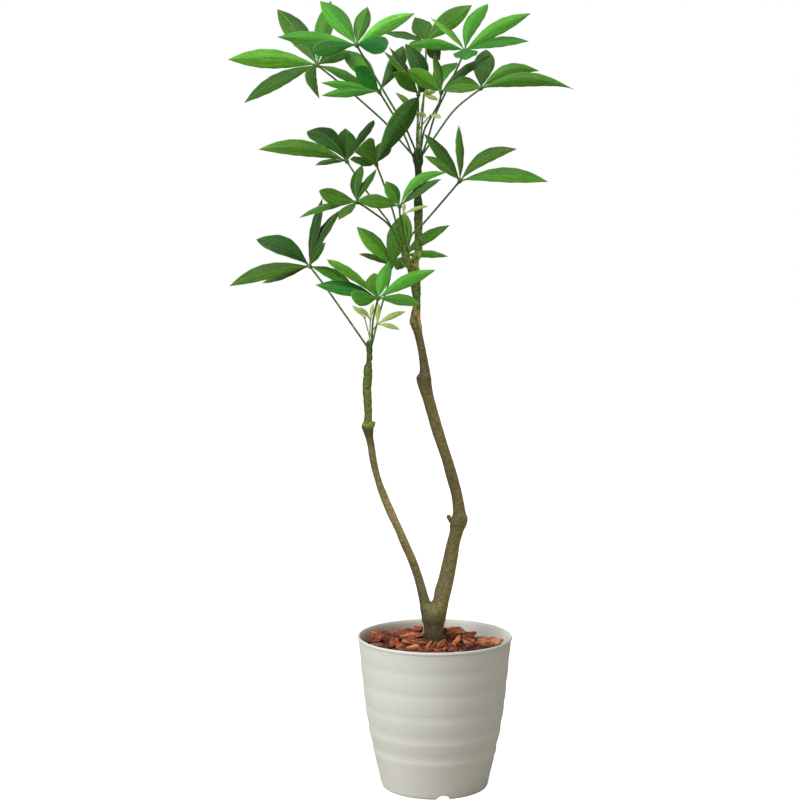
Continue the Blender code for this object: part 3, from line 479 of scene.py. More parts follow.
draw = random.Random(MULCH_SEED)
noise.seed_set(MULCH_SEED)
mulch_points = []
mulch_faces = []
mulch_grain = []
mulch_tint_and_shade = []
chip_rows = []
for number in range(SMALL_CHIPS):
    angle = number * GOLDEN_ANGLE + draw.uniform(-0.2, 0.2)
    reach = (MULCH_EDGE - 9 * MM) * math.sqrt((number + 0.5) / SMALL_CHIPS)
    length = draw.uniform(22, 48) * MM
    width = draw.uniform(10, 19) * MM
    thick = draw.uniform(7, 13) * MM
    turn = draw.uniform(0, math.pi)
    if reach + length / 2 > MULCH_EDGE - 3 * MM:
        turn = angle + math.pi / 2 + draw.uniform(-0.3, 0.3)
    lift = draw.uniform(-11.0, -1.0) * MM
    level = MULCH_WALL_TOP + (MULCH_MIDDLE_TOP - MULCH_WALL_TOP) * (1 - reach / MULCH_EDGE) + lift
    centre = Vector((math.cos(angle) * reach, math.sin(angle) * reach, level))
    lean = draw.uniform(-0.3, 0.3)
    roll = draw.uniform(-0.9, 0.9)
    to_root = Vector((centre.x - ROOT_X, centre.y - ROOT_BACK))
    if to_root.length < ROOT_HOLE + width * 0.6:
        turn = math.atan2(to_root.y, to_root.x) + math.pi / 2
        clear = width * 0.6 + ROOT_HOLE - to_root.length
        centre += Vector((to_root.x, to_root.y, 0)).normalized() * clear
    chip_rows.append((centre, length, width, thick, turn, lean, roll))
# The small chips lie under the clear ones, and their random brightness is held low, partly as painted
# shade; their warmth is random.
looks = [(draw.uniform(0.35, 0.95), draw.uniform(0.85, 1.15)) for row in chip_rows]
for row in CLEAR_CHIPS:
    length, width, thick, turn, lean, roll = row[3:9]
    chip_rows.append((seen_at(row), length * MM, width * MM, thick * MM, math.radians(turn),
                      math.radians(lean), math.radians(roll)))
    looks.append(row[9:])
for row, (shade, warmth) in zip(chip_rows, looks):
    points, faces, grain = bark_chip(draw, *row)
    mulch_faces += moved_faces(faces, len(mulch_points))
    mulch_points += points
    mulch_grain += grain
    for point in points:
        # Painted shade: each chip darkens toward its underside, and darker still the lower it lies below
        # the wall's chip line, as in the gaps of the bed.
        chip_underside_shade = within((point.z - row[0].z) / row[3] + 0.7, 0.35, 1.0)
        gap_shade = within((point.z - MULCH_WALL_TOP + 2 * MM) / (14 * MM), 0.14, 1.0)
        light = shade * gap_shade * chip_underside_shade
        mulch_tint_and_shade.append(Vector((light, light * warmth, light * warmth)))
bed_first = len(mulch_points)
# The bed below the chips is painted near black, as the shade in the gaps between them.
for radius, height in ((0.3 * MM, 251 * MM), (MULCH_EDGE, 251 * MM),
                       (MULCH_EDGE, MULCH_WALL_TOP - MULCH_BED_DROP),
                       (MULCH_EDGE * 0.5, MULCH_MIDDLE_TOP - MULCH_BED_DROP - 4 * MM),
                       (0.3 * MM, MULCH_MIDDLE_TOP - MULCH_BED_DROP)):
    ring = circle(Vector((0, 0, height)), radius, BED_SIDES)
    mulch_points += ring
    mulch_grain += [point.copy() for point in ring]
    mulch_tint_and_shade += [Vector((0.12, 0.1, 0.1))] * BED_SIDES
mulch_faces += ring_faces(5, BED_SIDES, bed_first)
mulch = mesh_piece("pine_bark_mulch", mulch_points, mulch_faces)
write_vectors(mulch, "grain", mulch_grain)
write_vectors(mulch, "tint", mulch_tint_and_shade)
mulch.data.materials.append(finish_material(split_pine_bark, {"Roughness": 0.82, "IOR": 1.5}))
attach(mulch, "root")
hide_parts("bark_chips")

# The trunk: one stem of soft wood, grown in a single piece, that forks just above the mulch. Its bark is
# thin, brown-grey with moss low down, ringed by old leaf scars, and still green on the young ends; its
# side toward +X is painted lighter, as painted light.
VOXEL = 1.3 * MM
TRUNK_FOOT = 245 * MM
ROOT_RADIUS = 17.5 * MM
ROOT_TOP = 286 * MM
TRUNK_SIDES = 28
TRUNK_SEED = 5
TRUNK_EASE = 8
SCAR_ROWS = 2.0
BARK_ROOM = 0.25 * MM
# Each stem, from its foot up: picture row, its left and right edge by column, mm behind the axis.
MAIN_RINGS = [
    (634, 424.2, 443.4, 18), (625, 423.4, 444.2, 18), (619, 421.4, 445.8, 18), (612, 422.6, 447, 18),
    (606, 427.4, 448.2, 18), (602, 431, 448.9, 18), (598, 433.4, 449.8, 18), (590, 434.6, 451.8, 20),
    (578, 438.3, 454.4, 21), (560, 442.6, 457.6, 21), (545, 446, 459.8, 19), (532, 449.4, 463.4, 17),
    (526, 449.8, 466, 16), (519, 450.8, 467.7, 15), (512, 452.7, 465.8, 14), (495, 451, 462.6, 11),
    (478, 446.3, 458.3, 7), (460, 441.5, 453, 2), (445, 436.3, 448, 0), (430, 431.2, 443.5, -1),
    (400, 422.6, 434.9, -4), (388, 418.4, 432.4, -5), (378, 416.2, 431.2, -5), (370, 419.6, 429.9, -4),
    (350, 417.6, 426, -2), (334, 413.8, 422.6, 0), (327, 411.3, 421.8, 1), (320, 409.5, 420.6, 2),
    (306, 412.4, 420.5, 3), (287, 410.8, 420.8, 5), (270, 407.2, 419.6, 7), (262, 405.2, 418.8, 8),
    (253, 413.9, 421.8, 9), (225, 414.1, 422.7, 10), (208, 414, 422.9, 10), (202, 413.4, 422.6, 10),
    (195, 414.5, 421.4, 10), (170, 414.8, 421.9, 10), (160, 412.6, 423.4, 10), (151, 413.6, 422.4, 10),
    (147, 416.4, 420, 10)
]
LEFT_RINGS = [
    (617, 421.6, 437, 18), (609, 420, 434.4, 18), (603, 419.4, 431, 18), (593, 417.4, 427.6, 17),
    (580, 414.3, 423.7, 15), (562, 408.2, 417.6, 10), (545, 400.6, 410.1, 5), (530, 394.6, 403.4, -1),
    (515, 387.2, 396.6, -6), (497, 379.9, 388.7, -11), (479, 374.2, 381.4, -15), (460, 369.4, 377, -18),
    (446, 367.3, 375, -19), (436, 364.6, 373.4, -20), (427, 361.4, 373.8, -20), (423, 362.4, 373.6, -20),
    (420, 363.8, 372.4, -20), (408, 364, 372.1, -19), (390, 362.5, 371.4, -17), (378, 363, 372.3, -15),
    (366.5, 364, 372.3, -14), (363.5, 366, 371.8, -13), (357, 366.6, 372.6, -12),
    (350, 366.4, 372.4, -11), (344, 366, 372.6, -10), (340, 367.8, 371.4, -10)
]
BRANCH_RINGS = [
    (272, 410, 418, 4), (266, 406.4, 414, -4), (261, 404.2, 411, -14), (256, 403.6, 410.2, -22),
    (249, 403.4, 410.2, -28), (243, 403.8, 409.8, -31), (240, 405.4, 408.4, -31)
]
STUB_RINGS = [
    (525, 451, 460, 12), (520.5, 448, 453, 9), (517.5, 446.4, 451.6, 7), (514.8, 447, 450.4, 6)
]
JOINT_RINGS = [
    (430, 367, 372.6, -16), (425, 370.2, 375.4, -13), (421.5, 371.8, 375.6, -12)
]


def eased_rows(rows, steps):
    """Rows of a table with smooth ones between them."""
    ends = [rows[0]] + list(rows) + [rows[-1]]
    fine = []
    for first, second, third, fourth in zip(ends, ends[1:], ends[2:], ends[3:]):
        for part in range(steps):
            t = part / steps
            row = []
            for a, b, c, d in zip(first, second, third, fourth):
                low = (c - a) / 2 * t * (1 - t) ** 2
                high = (d - b) / 2 * t * t * (t - 1)
                ease = t * t * (3 - 2 * t)
                row.append(b + (c - b) * ease + low + high)
            fine.append(row)
    fine.append(list(rows[-1]))
    return fine


def stem_tube(rows, draw, scar_rows, high):
    """Points and faces of a stem, raised at the old leaf scars, or grooved there if high is below 0."""
    scars = [(row, draw.uniform(0.6, 1.3) * high, draw.uniform(0, 2 * math.pi)) for row in scar_rows]
    grooved = scar_rows[-1] if high < 0 else 0
    points = []
    fine = eased_rows(rows, TRUNK_EASE)
    for row, left, right, back in fine:
        near = seen_at((left, row, back))
        far = seen_at((right, row, back))
        radius = (far - near).length / 2
        for corner, point in enumerate(circle(Vector(), 1.0, TRUNK_SIDES)):
            angle = 2 * math.pi * corner / TRUNK_SIDES
            lump = -0.4 * high * MM if row < grooved else 0.0
            for scar, height, facing in scars:
                turned = math.cos(angle - facing)
                away = row - scar - 1.2 * turned
                if abs(away) < SCAR_ROWS:
                    lump += height * MM * (1 - abs(away) / SCAR_ROWS) * (0.7 + 0.5 * turned)
            points.append((near + far) / 2 + point * (radius + lump - BARK_ROOM))
    return points, ring_faces(len(fine), TRUNK_SIDES)


def spaced(draw, low, high, least, most):
    """Picture rows of leaf scars between two rows."""
    rows = []
    place = low
    while place < high:
        rows.append(place)
        place += draw.uniform(least, most)
    return rows


def ringed_bark(tree):
    """Thin smooth bark: cork of 5 to 7 mm flakes, cracks about 13 mm apart and moss in patches of 33 mm,
    over green where it is young and lighter on the side toward +X, where light is painted into the colour."""
    place = add(tree, "TexCoord").outputs["Object"]
    growth_and_side_light = add(tree, "Attribute", {"attribute_name": "growth_and_side_light"}).outputs["Vector"]
    stretch = add(tree, "Mapping", values={"Scale": (150.0, 150.0, 210.0)}, links={"Vector": place})
    cork = add(tree, "TexNoise", values={"Scale": 1.0, "Detail": 6.0, "Roughness": 0.7},
               links={"Vector": stretch})
    shade = add(tree, "ValToRGB", links={0: cork},
                stops=[(0.28, "#8A8678"), (0.45, "#C8C6BC"), (0.56, "#E6E4DC"), (0.76, "#FFFFF4")])
    worn = add(tree, "Mix", MULTIPLY, {0: 1.0}, {6: growth_and_side_light, 7: shade})
    patch = add(tree, "TexNoise", values={"Scale": 30.0, "Detail": 5.0, "Roughness": 0.62},
                links={"Vector": place})
    moss = add(tree, "ValToRGB", links={0: patch},
               stops=[(0.33, "#FFECE4"), (0.45, "#FAF6EE"), (0.57, "#EEF2DC"), (0.7, "#D2E2AA")])
    mossed = add(tree, "Mix", MULTIPLY, {0: 1.0}, {6: worn, 7: moss})
    crack = add(tree, "TexVoronoi", {"feature": "DISTANCE_TO_EDGE"}, {"Scale": 0.5}, {"Vector": stretch})
    heights = add(tree, "Math", {"operation": "MULTIPLY_ADD"}, {1: 0.5}, {0: crack, 2: cork})
    bump = add(tree, "Bump", values={"Strength": 0.7, "Distance": 0.0011}, links={"Height": heights})
    return {"Base Color": mossed, "Normal": bump}


draw = random.Random(TRUNK_SEED)
foot_middle = Vector((ROOT_X, ROOT_BACK, 0))
trunk_points = []
for height in (TRUNK_FOOT, ROOT_TOP):
    trunk_points += circle(foot_middle + Vector((0, 0, height)), ROOT_RADIUS, TRUNK_SIDES)
main_scars = spaced(draw, 156, 330, 4.6, 9.5) + [378, 393, 516, 521, 526]
left_scars = spaced(draw, 346, 418, 6.2, 8.6)
trunk_points += stem_tube(MAIN_RINGS, draw, main_scars, 0.8)[0]
trunk_faces = ring_faces(len(trunk_points) // TRUNK_SIDES, TRUNK_SIDES)
for rows, scars, high in ((LEFT_RINGS, left_scars, -1.5), (BRANCH_RINGS, [250, 256, 262], 0.5),
                          (STUB_RINGS, [], 0), (JOINT_RINGS, [], 0)):
    points, faces = stem_tube(rows, draw, scars, high)
    trunk_faces += moved_faces(faces, len(trunk_points))
    trunk_points += points
trunk = mesh_piece("forked_trunk", trunk_points, trunk_faces)
remesh = trunk.modifiers.new("grown", "REMESH")
remesh.mode = "VOXEL"
remesh.voxel_size = VOXEL
remesh.use_smooth_shade = True
soften = trunk.modifiers.new("soften", "SMOOTH")
soften.factor = 0.5
soften.iterations = 2
settle(trunk)

# How the bark's colour changes up each stem, by picture row. The side toward +X is painted lighter, as
# painted light from the right, and each scar has a dark line round it.
FOOT_TONES = [(608, "#86805C"), (615, "#727048"), (621, "#706A4C"), (640, "#60563F")]
MAIN_TONES = [
    (145, "#4C6C34"), (151, "#3E5A2A"), (160, "#32461F"), (205, "#2C3E1C"), (225, "#5A7238"),
    (245, "#76904A"), (256, "#849E4C"), (268, "#808E44"), (288, "#4C662E"), (300, "#526A32"),
    (308, "#887E4A"), (323, "#A49656"), (332, "#786E4C"), (350, "#706848"), (376, "#68604A"),
    (384, "#6C6648"), (394, "#7E764E"), (420, "#7E7650"), (445, "#7E7650"), (480, "#786F50"),
    (525, "#807850"), (560, "#8A7F5E"), (598, "#8C8060")
] + FOOT_TONES
LEFT_TONES = [
    (340, "#5A7038"), (348, "#4E5E34"), (354, "#5E6E3E"), (365, "#646A3E"), (368, "#6C843A"),
    (400, "#70883C"), (416, "#6C8238"), (421.5, "#708638"), (423.5, "#A0A850"), (425.5, "#86804A"),
    (429, "#645840"), (434, "#645C3A"), (446, "#867A50"), (480, "#908560"), (515, "#A89E74"),
    (537, "#A0946C"), (540, "#A4A676"), (543, "#988E66"), (575, "#8A8262"), (598, "#7C7456")
] + FOOT_TONES
OCHRE = "#A88A48"
OCHRE_ROWS = (263, 321, 328)
OCHRE_REACH = 4 * MM
# Painted light on the side toward +X: its gain, how fast it rises as the surface turns to +X, and its
# limits.
SIDE_LIGHT_BASE = 1.4
SIDE_LIGHT_RISE = 0.72
SIDE_LIGHT_RANGE = (0.8, 2.2)
SCAR_HALF = 1.7 * MM
SCAR_DARK = 0.4
LUMPS = 0.3 * MM
YOUNG_KNOBBLY = 3.2
GRAIN = 0.14 * MM


def tone_scale(rows, column, back):
    """A colour list by picture row as one by height."""
    return [(seen_at((column, row, back)).z, Vector(linear(code)[:3])) for row, code in rows]


def tone_at(scale, height):
    """The colour of a falling list of heights at one height."""
    for (above, upper), (below, lower) in zip(scale, scale[1:]):
        if height > below:
            return upper.lerp(lower, within((above - height) / (above - below), 0, 1))
    return scale[-1][1].copy()


main_scale = tone_scale(MAIN_TONES, 430, 5)
left_scale = tone_scale(LEFT_TONES, 370, -10)
ochre_levels = [seen_at((420, row, 5)).z for row in OCHRE_ROWS]
main_levels = [seen_at((425, row, 5)).z for row in main_scars]
left_levels = [seen_at((368, row, -15)).z for row in left_scars]
low_split = seen_at((431, 590, 18))
mid_split = seen_at((424, 455, 0))
high_split = seen_at((395, 336, 0))
knobbly_from = seen_at((418, 332, 0)).z


def bark_colour(point):
    """The bark's colour at a point, ochre and corky at the old leaf scars."""
    split = low_split if point.z < low_split.z else mid_split if point.z < mid_split.z else high_split
    left = point.x < split.x and point.z < high_split.z
    colour = tone_at(left_scale if left else main_scale, point.z)
    if not left:
        near = max(1 - abs(point.z - level) / OCHRE_REACH for level in ochre_levels)
        near = min(max(near, 0) * (0.5 + 0.8 * noise.noise(point / (7 * MM))), 0.7)
        colour = colour.lerp(Vector(linear(OCHRE)[:3]), max(near, 0))
    if point.z > knobbly_from:
        colour *= 1.12 + 1.1 * noise.noise(Vector((point.x, point.y, point.z * 0.7)) / (6.5 * MM))
    wobble = noise.noise(point / (9 * MM)) * 1.4 * MM
    away = min(abs(point.z + wobble - level) for level in (left_levels if left else main_levels))
    return colour * (1 - SCAR_DARK * max(0, 1 - away / SCAR_HALF))


worn = []
bark_tones_and_side_light = []
for point, facing in [(each.co.copy(), each.normal.copy()) for each in trunk.data.vertices]:
    rough = noise.noise(Vector((point.x, point.y, point.z * 0.6)) / (6 * MM)) * LUMPS
    if point.z > knobbly_from:
        rough *= YOUNG_KNOBBLY
    fine = noise.noise(point / (2.2 * MM)) * GRAIN
    # Painted light: the bark is made lighter the more its surface faces +X, as if lit from the right.
    pale = SIDE_LIGHT_BASE * math.exp(SIDE_LIGHT_RISE * facing.x)
    bark_tones_and_side_light.append(bark_colour(point) * within(pale, *SIDE_LIGHT_RANGE))
    worn += list(point + facing * (rough + fine))
trunk.data.vertices.foreach_set("co", worn)
trunk.data.update()
write_vectors(trunk, "growth_and_side_light", bark_tones_and_side_light)
smooth_all(trunk)
trunk.data.materials.append(finish_material(ringed_bark, {"Roughness": 0.8, "IOR": 1.5}))
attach(trunk, "root")
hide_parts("trunk")

# The leaves: each is a round stalk that ends in a knuckle from which leathery leaflets
# spread like fingers. A leaflet arches, droops on both sides of its midrib and has fine ribs.
BLADE = 0.55 * MM
TIP_HALF = 0.35 * MM
NECK_HALF = 1.7 * MM
NECK_START = 1.5 * MM
BOW = 0.07
ARCH_UP = 0.7
ARCH_OUT = 0.5
FOLD = math.radians(13)
WIDEST_START = 1.25
WIDEST_END = 1.05
RIB_SPACING_MM = 6.5
LEAFLET_STEPS = 24
ACROSS = (-1.0, -0.78, -0.5, -0.22, -0.05, 0.05, 0.22, 0.5, 0.78, 1.0)
STALK_RADIUS = 1.9 * MM
STALK_BASE = 2.7 * MM
HUB_RADIUS = 4.4 * MM
STALK_SIDES = 12
STALK_STEPS = 30
# The leaflets' tints. Each leaflet's pick holds its own green together with painted light and shade:
# leaflets that sit in shade among the others are given lighter tints than their green alone.
LEAF_TINTS = {"lime": "#74CB5F", "mint": "#3DB45C", "fresh": "#65AA3C", "bright": "#52A63B",
              "grass": "#469C31", "fern": "#5B933A", "mid": "#518E31", "sea": "#30853E",
              "meadow": "#438328", "clover": "#348024", "moss": "#4D792E", "deep": "#3C6D26",
              "blue": "#116833", "dark": "#356323", "bottle": "#2B5E23", "night": "#244D1A"}
MIDRIB_SHOWS = 0.17
# Painted shade on one half of each leaflet, as a share of its colour.
HALF_SHADE = 0.16
WAVE = 0.045
GROOVE = 0.22 * MM
RIB_DEPTH = 0.55 * MM
NECK_SKIN = 1.1 * MM
MIX = {"data_type": "RGBA"}
TIMES = {"operation": "MULTIPLY"}
# Each leaf: the points of its stalk, of which the last is the hub, by picture column, row and mm behind
# the pot's axis. Then its leaflets, by the place of the tip, width in mm and turn in degrees, some with
# their arch as a share of the length, how slim the tip end is and a sway to the right in mm. Then their
# tints, each the leaflet's own green together with painted light and shade, set leaflet by leaflet.
LEAVES = {
    "leaf_crown_far_left": (
        [(417, 158, 10), (411, 153, 7), (397, 137, 3), (385, 122.5, 1), (356.6, 97, -6),
         (339.4, 82.7, -14), (317, 65, -20)],
        [(228, 59.5, -40, 40, 25, 0.055), (244.5, 102.7, -65, 33, 35),
         (319.5, 98.5, -110, 29, 40, 0.07, 1.05, -14), (368, 90, -5, 28, 50), (277.2, 9.2, 70, 44, 15),
         (330.9, 0.8, 80, 35, 15), (350, 52, 60, 30, 20)],
        "fresh deep moss meadow deep meadow mid"),
    "leaf_crown_left_front": (
        [(418, 160, 6), (415.6, 151, -14), (411, 140, -56), (404, 124, -92), (395, 110, -110),
         (370, 68, -146), (356.5, 45, -170)],
        [(319.9, 1.1, -110, 36, 10), (367.5, 6.9, -100, 29, 12), (414.7, 13.4, -160, 27, 15),
         (386.8, 48, -250, 37, 30, 0.07, 0.6), (277.4, 37, -190, 31, 35, 0.04),
         (313, 51.5, -235, 31, 30, 0.05, 0.6)],
        "grass meadow lime blue grass sea"),
    "leaf_crown_left_back": (
        [(418, 164, 10), (412.6, 156, 2), (406, 139, -8), (401, 129, -16), (391, 111, -30),
         (379, 91.5, -45)],
        [(342, 50, 100, 36, 15), (354.2, 67, -110, 35, 20), (321.1, 82.7, -60, 24, 45, 0.03),
         (321.7, 95.7, -85, 27, 50, 0.04), (403, 46, 95, 32, 10, 0.07, 1.05, 10)],
        "meadow mint grass grass dark"),
    "leaf_crown_centre": (
        [(417.4, 156, 12), (417, 146, 12), (416.9, 136, 10), (418.2, 112, 4), (418.3, 94, 0)],
        [(389.1, 47.1, 25, 24, 58), (383.6, 51.1, 0, 24, 60), (405.4, 43.6, 32, 36, 15, 0.07, 0.9, 14),
         (393, 72.7, -70, 30, 25), (431, 80, 60, 24, 10)],
        "night fern bottle fresh deep"),
    "leaf_crown_centre_back": (
        [(419.5, 156, 14), (420.4, 146, 28), (421, 136, 46), (423.6, 100, 90), (425.8, 60, 135),
         (425.5, 42, 160)],
        [(471.9, 5.2, 180, 39, 15), (414.5, 17.2, 225, 42, 10, 0.07, 1.2, 4), (383.9, 33, 170, 27, 58),
         (440, 60, 240, 32, 10), (405, 58, 230, 30, 10)],
        "mid deep dark deep lime"),
    "leaf_crown_centre_front": (
        [(419, 160, 8), (421, 150, -1), (424, 131, -12), (430.7, 117.7, -28), (439, 103, -48),
         (441.3, 92, -60)],
        [(407.1, 69.5, -75, 33, 20), (481.2, 87.8, -95, 33, 28, 0.15),
         (457.3, 62.5, 8, 33, 25, 0.1, 0.8, -15), (434.7, 54.2, -20, 24, 48), (490.5, 55, -20, 34, 60)],
        "fresh mid bright fern bottle"),
    "leaf_crown_right": (
        [(419, 164, 10), (423, 152, 8), (428.7, 136, 4), (435.8, 113.6, -2), (453.6, 75.8, -12),
         (465, 50.5, -20)],
        [(431, 18.1, 10, 25, 60), (487.6, 3.9, 35, 32, 25, 0.07, 0.8, -8), (530.7, 13.4, -20, 30, 28),
         (528.6, 41.3, -50, 27, 45), (411.7, 44.8, -60, 29, 45), (466, 60, -125, 46, 0)],
        "fresh grass bright clover grass sea"),
    "leaf_crown_far_right": (
        [(419, 160, 12), (425, 151, 29), (434.3, 137.6, 52), (454.9, 109.4, 86), (481, 88.4, 120)],
        [(574.2, 89.6, 100, 32, 28, 0.12, 1.5), (539.3, 71.1, 156, 31, 35, 0.17),
         (486, 49.5, 172, 43, 10, 0.07, 0.8), (448, 85, 190, 18, 45, 0.03)],
        "mid mid dark deep"),
    "leaf_branch_right": (
        [(407, 250, -28), (411.3, 236, -41), (415.9, 230.2, -51), (423.4, 223.4, -63), (442, 202, -87),
         (460, 180.8, -110)],
        [(547.8, 181.8, -130, 32, 30, 0.09), (517, 149, -80, 29, 30, 0.16), (458.8, 125.3, -70, 27, 55),
         (423.9, 133.7, -115, 29, 40), (424.4, 156, -150, 24, 50)],
        "mid moss fern deep fern"),
    "leaf_branch_upright": (
        [(406.2, 247, -29), (401, 239.5, -34), (396, 222, -41), (389.7, 201, -48), (384, 184.6, -57),
         (376, 163.8, -70)],
        [(417.2, 97.2, -50, 40, 5, 0.05, 0.75), (352.5, 152.3, -140, 47, 20, 0.26, 1.4, 4),
         (350, 159.5, -156, 24, 50, 0.02), (389, 142, 20, 30, 10)],
        "dark fern deep dark"),
    "leaf_branch_far_left": (
        [(406.4, 261, -16), (399, 248, -7), (389.5, 223.7, 0), (378.2, 208.2, 6), (355, 174, 11),
         (346.7, 161.2, 20)],
        [(258.3, 149.5, 0, 35, 27, 0.1), (307.1, 131.3, 70, 42, 20, 0.19, 0.8),
         (345.5, 128.3, 80, 42, 15, 0.07, 1.05, 3), (373.7, 120.1, 60, 25, 50, 0.04, 0.6),
         (315.1, 165.4, -20, 20, 60)],
        "fern bottle meadow night deep"),
    "leaf_branch_left": (
        [(406.2, 256, -24), (399, 246, -29), (389.5, 225.8, -45), (369.1, 209.6, -65), (357, 202, -80)],
        [(318.8, 190.8, -105, 33, 25, -0.03, 0.9), (299.3, 217.7, -85, 25, 58),
         (361.8, 164.8, -40, 27, 35, 0.07, 0.9, -6), (376.5, 169, -50, 23, 55),
         (338.6, 219.8, -135, 24, 45), (364.9, 180.5, -60, 16, 30)],
        "fern meadow dark deep moss meadow"),
    "leaf_branch_front": (
        [(407, 252, -28), (405.4, 242, -58), (400.4, 218.1, -106), (399.6, 206.1, -135)],
        [(385.8, 181.1, -122, 27, 15), (447.3, 172.6, -140, 23, 38, 0.22), (441.2, 179.1, -165, 24, 50),
         (357, 201, -165, 28, 25)],
        "meadow bright deep fern"),
    "leaf_branch_back": (
        [(408.6, 268, 0), (403, 264, 24), (402.4, 259, 54), (403.5, 256, 85)],
        [(449.5, 225.2, 120, 27, 35), (447.9, 256.5, 90, 23, 50), (396.5, 270, 56, 26, 10),
         (405.5, 213, 142, 31, 15)],
        "mid fresh fresh fresh"),
    "leaf_stem_far_left": (
        [(369.4, 350, -10), (364, 342, -2), (329, 291.8, 2), (318, 277, 6), (309.5, 266, 10)],
        [(229.6, 286, -20, 33, 27, 0.08), (262.1, 283.3, 30, 22, 45, 0.03),
         (256.4, 239.4, 40, 42, 27, 0.14, 0.9), (322.2, 198.4, 60, 28, 47),
         (339, 210.7, 40, 28, 47, 0.07, 0.8, -4), (325.6, 242.8, -40, 22, 45), (352, 285, 0, 26, 35)],
        "moss moss bottle night night bottle meadow"),
    "leaf_stem_front": (
        [(369.4, 349, -12), (371.6, 341, -36), (373.2, 319, -90), (378, 298.5, -140)],
        [(327, 259.5, -150, 27, 50, 0.07, 0.7), (315.6, 285.2, -155, 31, 30),
         (352.5, 299.5, -220, 33, 30, 0.05, 0.6), (389.3, 261, -100, 27, 25), (435.5, 270, -140, 28, 32),
         (420.9, 305, -180, 26, 35), (374, 273, -60, 42, 0)],
        "fresh sea bright bright bright meadow fern"),
    "leaf_stem_back": (
        [(369.6, 351, -8), (373, 340, 2), (378, 319, 10), (383, 301, 18), (389.3, 280.6, 26),
         (391.3, 266, 32)],
        [(356.8, 226.8, 52, 34, 22), (358.8, 254.3, -8, 20, 58), (402.6, 214, 42, 41, 15),
         (375, 245, 87, 30, 15)],
        "fresh moss mid lime"),
}


def eased_path(points, steps):
    """A smooth line through the points, evenly parted into steps."""
    fine = [Vector(row) for row in eased_rows([tuple(point) for point in points], 10)]
    lengths = [0.0]
    for near, far in zip(fine, fine[1:]):
        lengths.append(lengths[-1] + (far - near).length)
    path = []
    place = 0
    for number in range(steps + 1):
        goal = lengths[-1] * number / steps
        while place < len(fine) - 2 and lengths[place + 1] < goal:
            place += 1
        span = max(lengths[place + 1] - lengths[place], 1e-9)
        path.append(fine[place].lerp(fine[place + 1], min((goal - lengths[place]) / span, 1)))
    return path


def round_stalk(points, radius, base, hub, steps, sides):
    """A part of a frond: a stalk, thicker at its foot and swollen to a knuckle at its end."""
    path = eased_path(points, steps)
    ahead = (path[-1] - path[-2]).normalized()
    centres = [point for point in path if (point - path[-1]).length > hub * 1.5]
    radii = []
    for number in range(len(centres)):
        foot = max(0, 1 - number / (steps * 0.14)) ** 1.5
        radii.append(radius + (base - radius) * foot)
    for shift, share in ((-1.4, 0.5), (-1.0, 0.72), (-0.6, 0.92), (-0.1, 1.0), (0.35, 0.93), (0.7, 0.7),
                         (0.92, 0.4), (1.0, 0.12)):
        centres.append(path[-1] + ahead * hub * shift)
        radii.append(max(hub * share, radius if shift < -0.5 else 0))
    side = ahead.orthogonal().normalized()
    rings = []
    for number, centre in enumerate(centres):
        before = centres[max(number - 1, 0)]
        after = centres[min(number + 1, len(centres) - 1)]
        along = (after - before).normalized()
        side = (side - along * side.dot(along)).normalized()
        other = along.cross(side)
        for corner in range(sides):
            angle = 2 * math.pi * corner / sides
            rings.append(centre + (side * math.cos(angle) + other * math.sin(angle)) * radii[number])
    return rings, ring_faces(len(centres), sides), None, None


def blade_frame(start, tip, turn):
    """The length, run, cross and upward lines of a leaflet blade."""
    run = tip - start
    length = run.length
    run.normalize()
    sight = ((start + tip) / 2 - EYE).normalized()
    cross = sight.cross(run).normalized()
    if cross.z < 0:
        cross = -cross
    away = (sight - run * sight.dot(run)).normalized()
    cross = cross * math.cos(math.radians(turn)) + away * math.sin(math.radians(turn))
    upward = run.cross(cross)
    if upward.dot(sight) > 0:
        upward = -upward
    return length, run, cross, upward


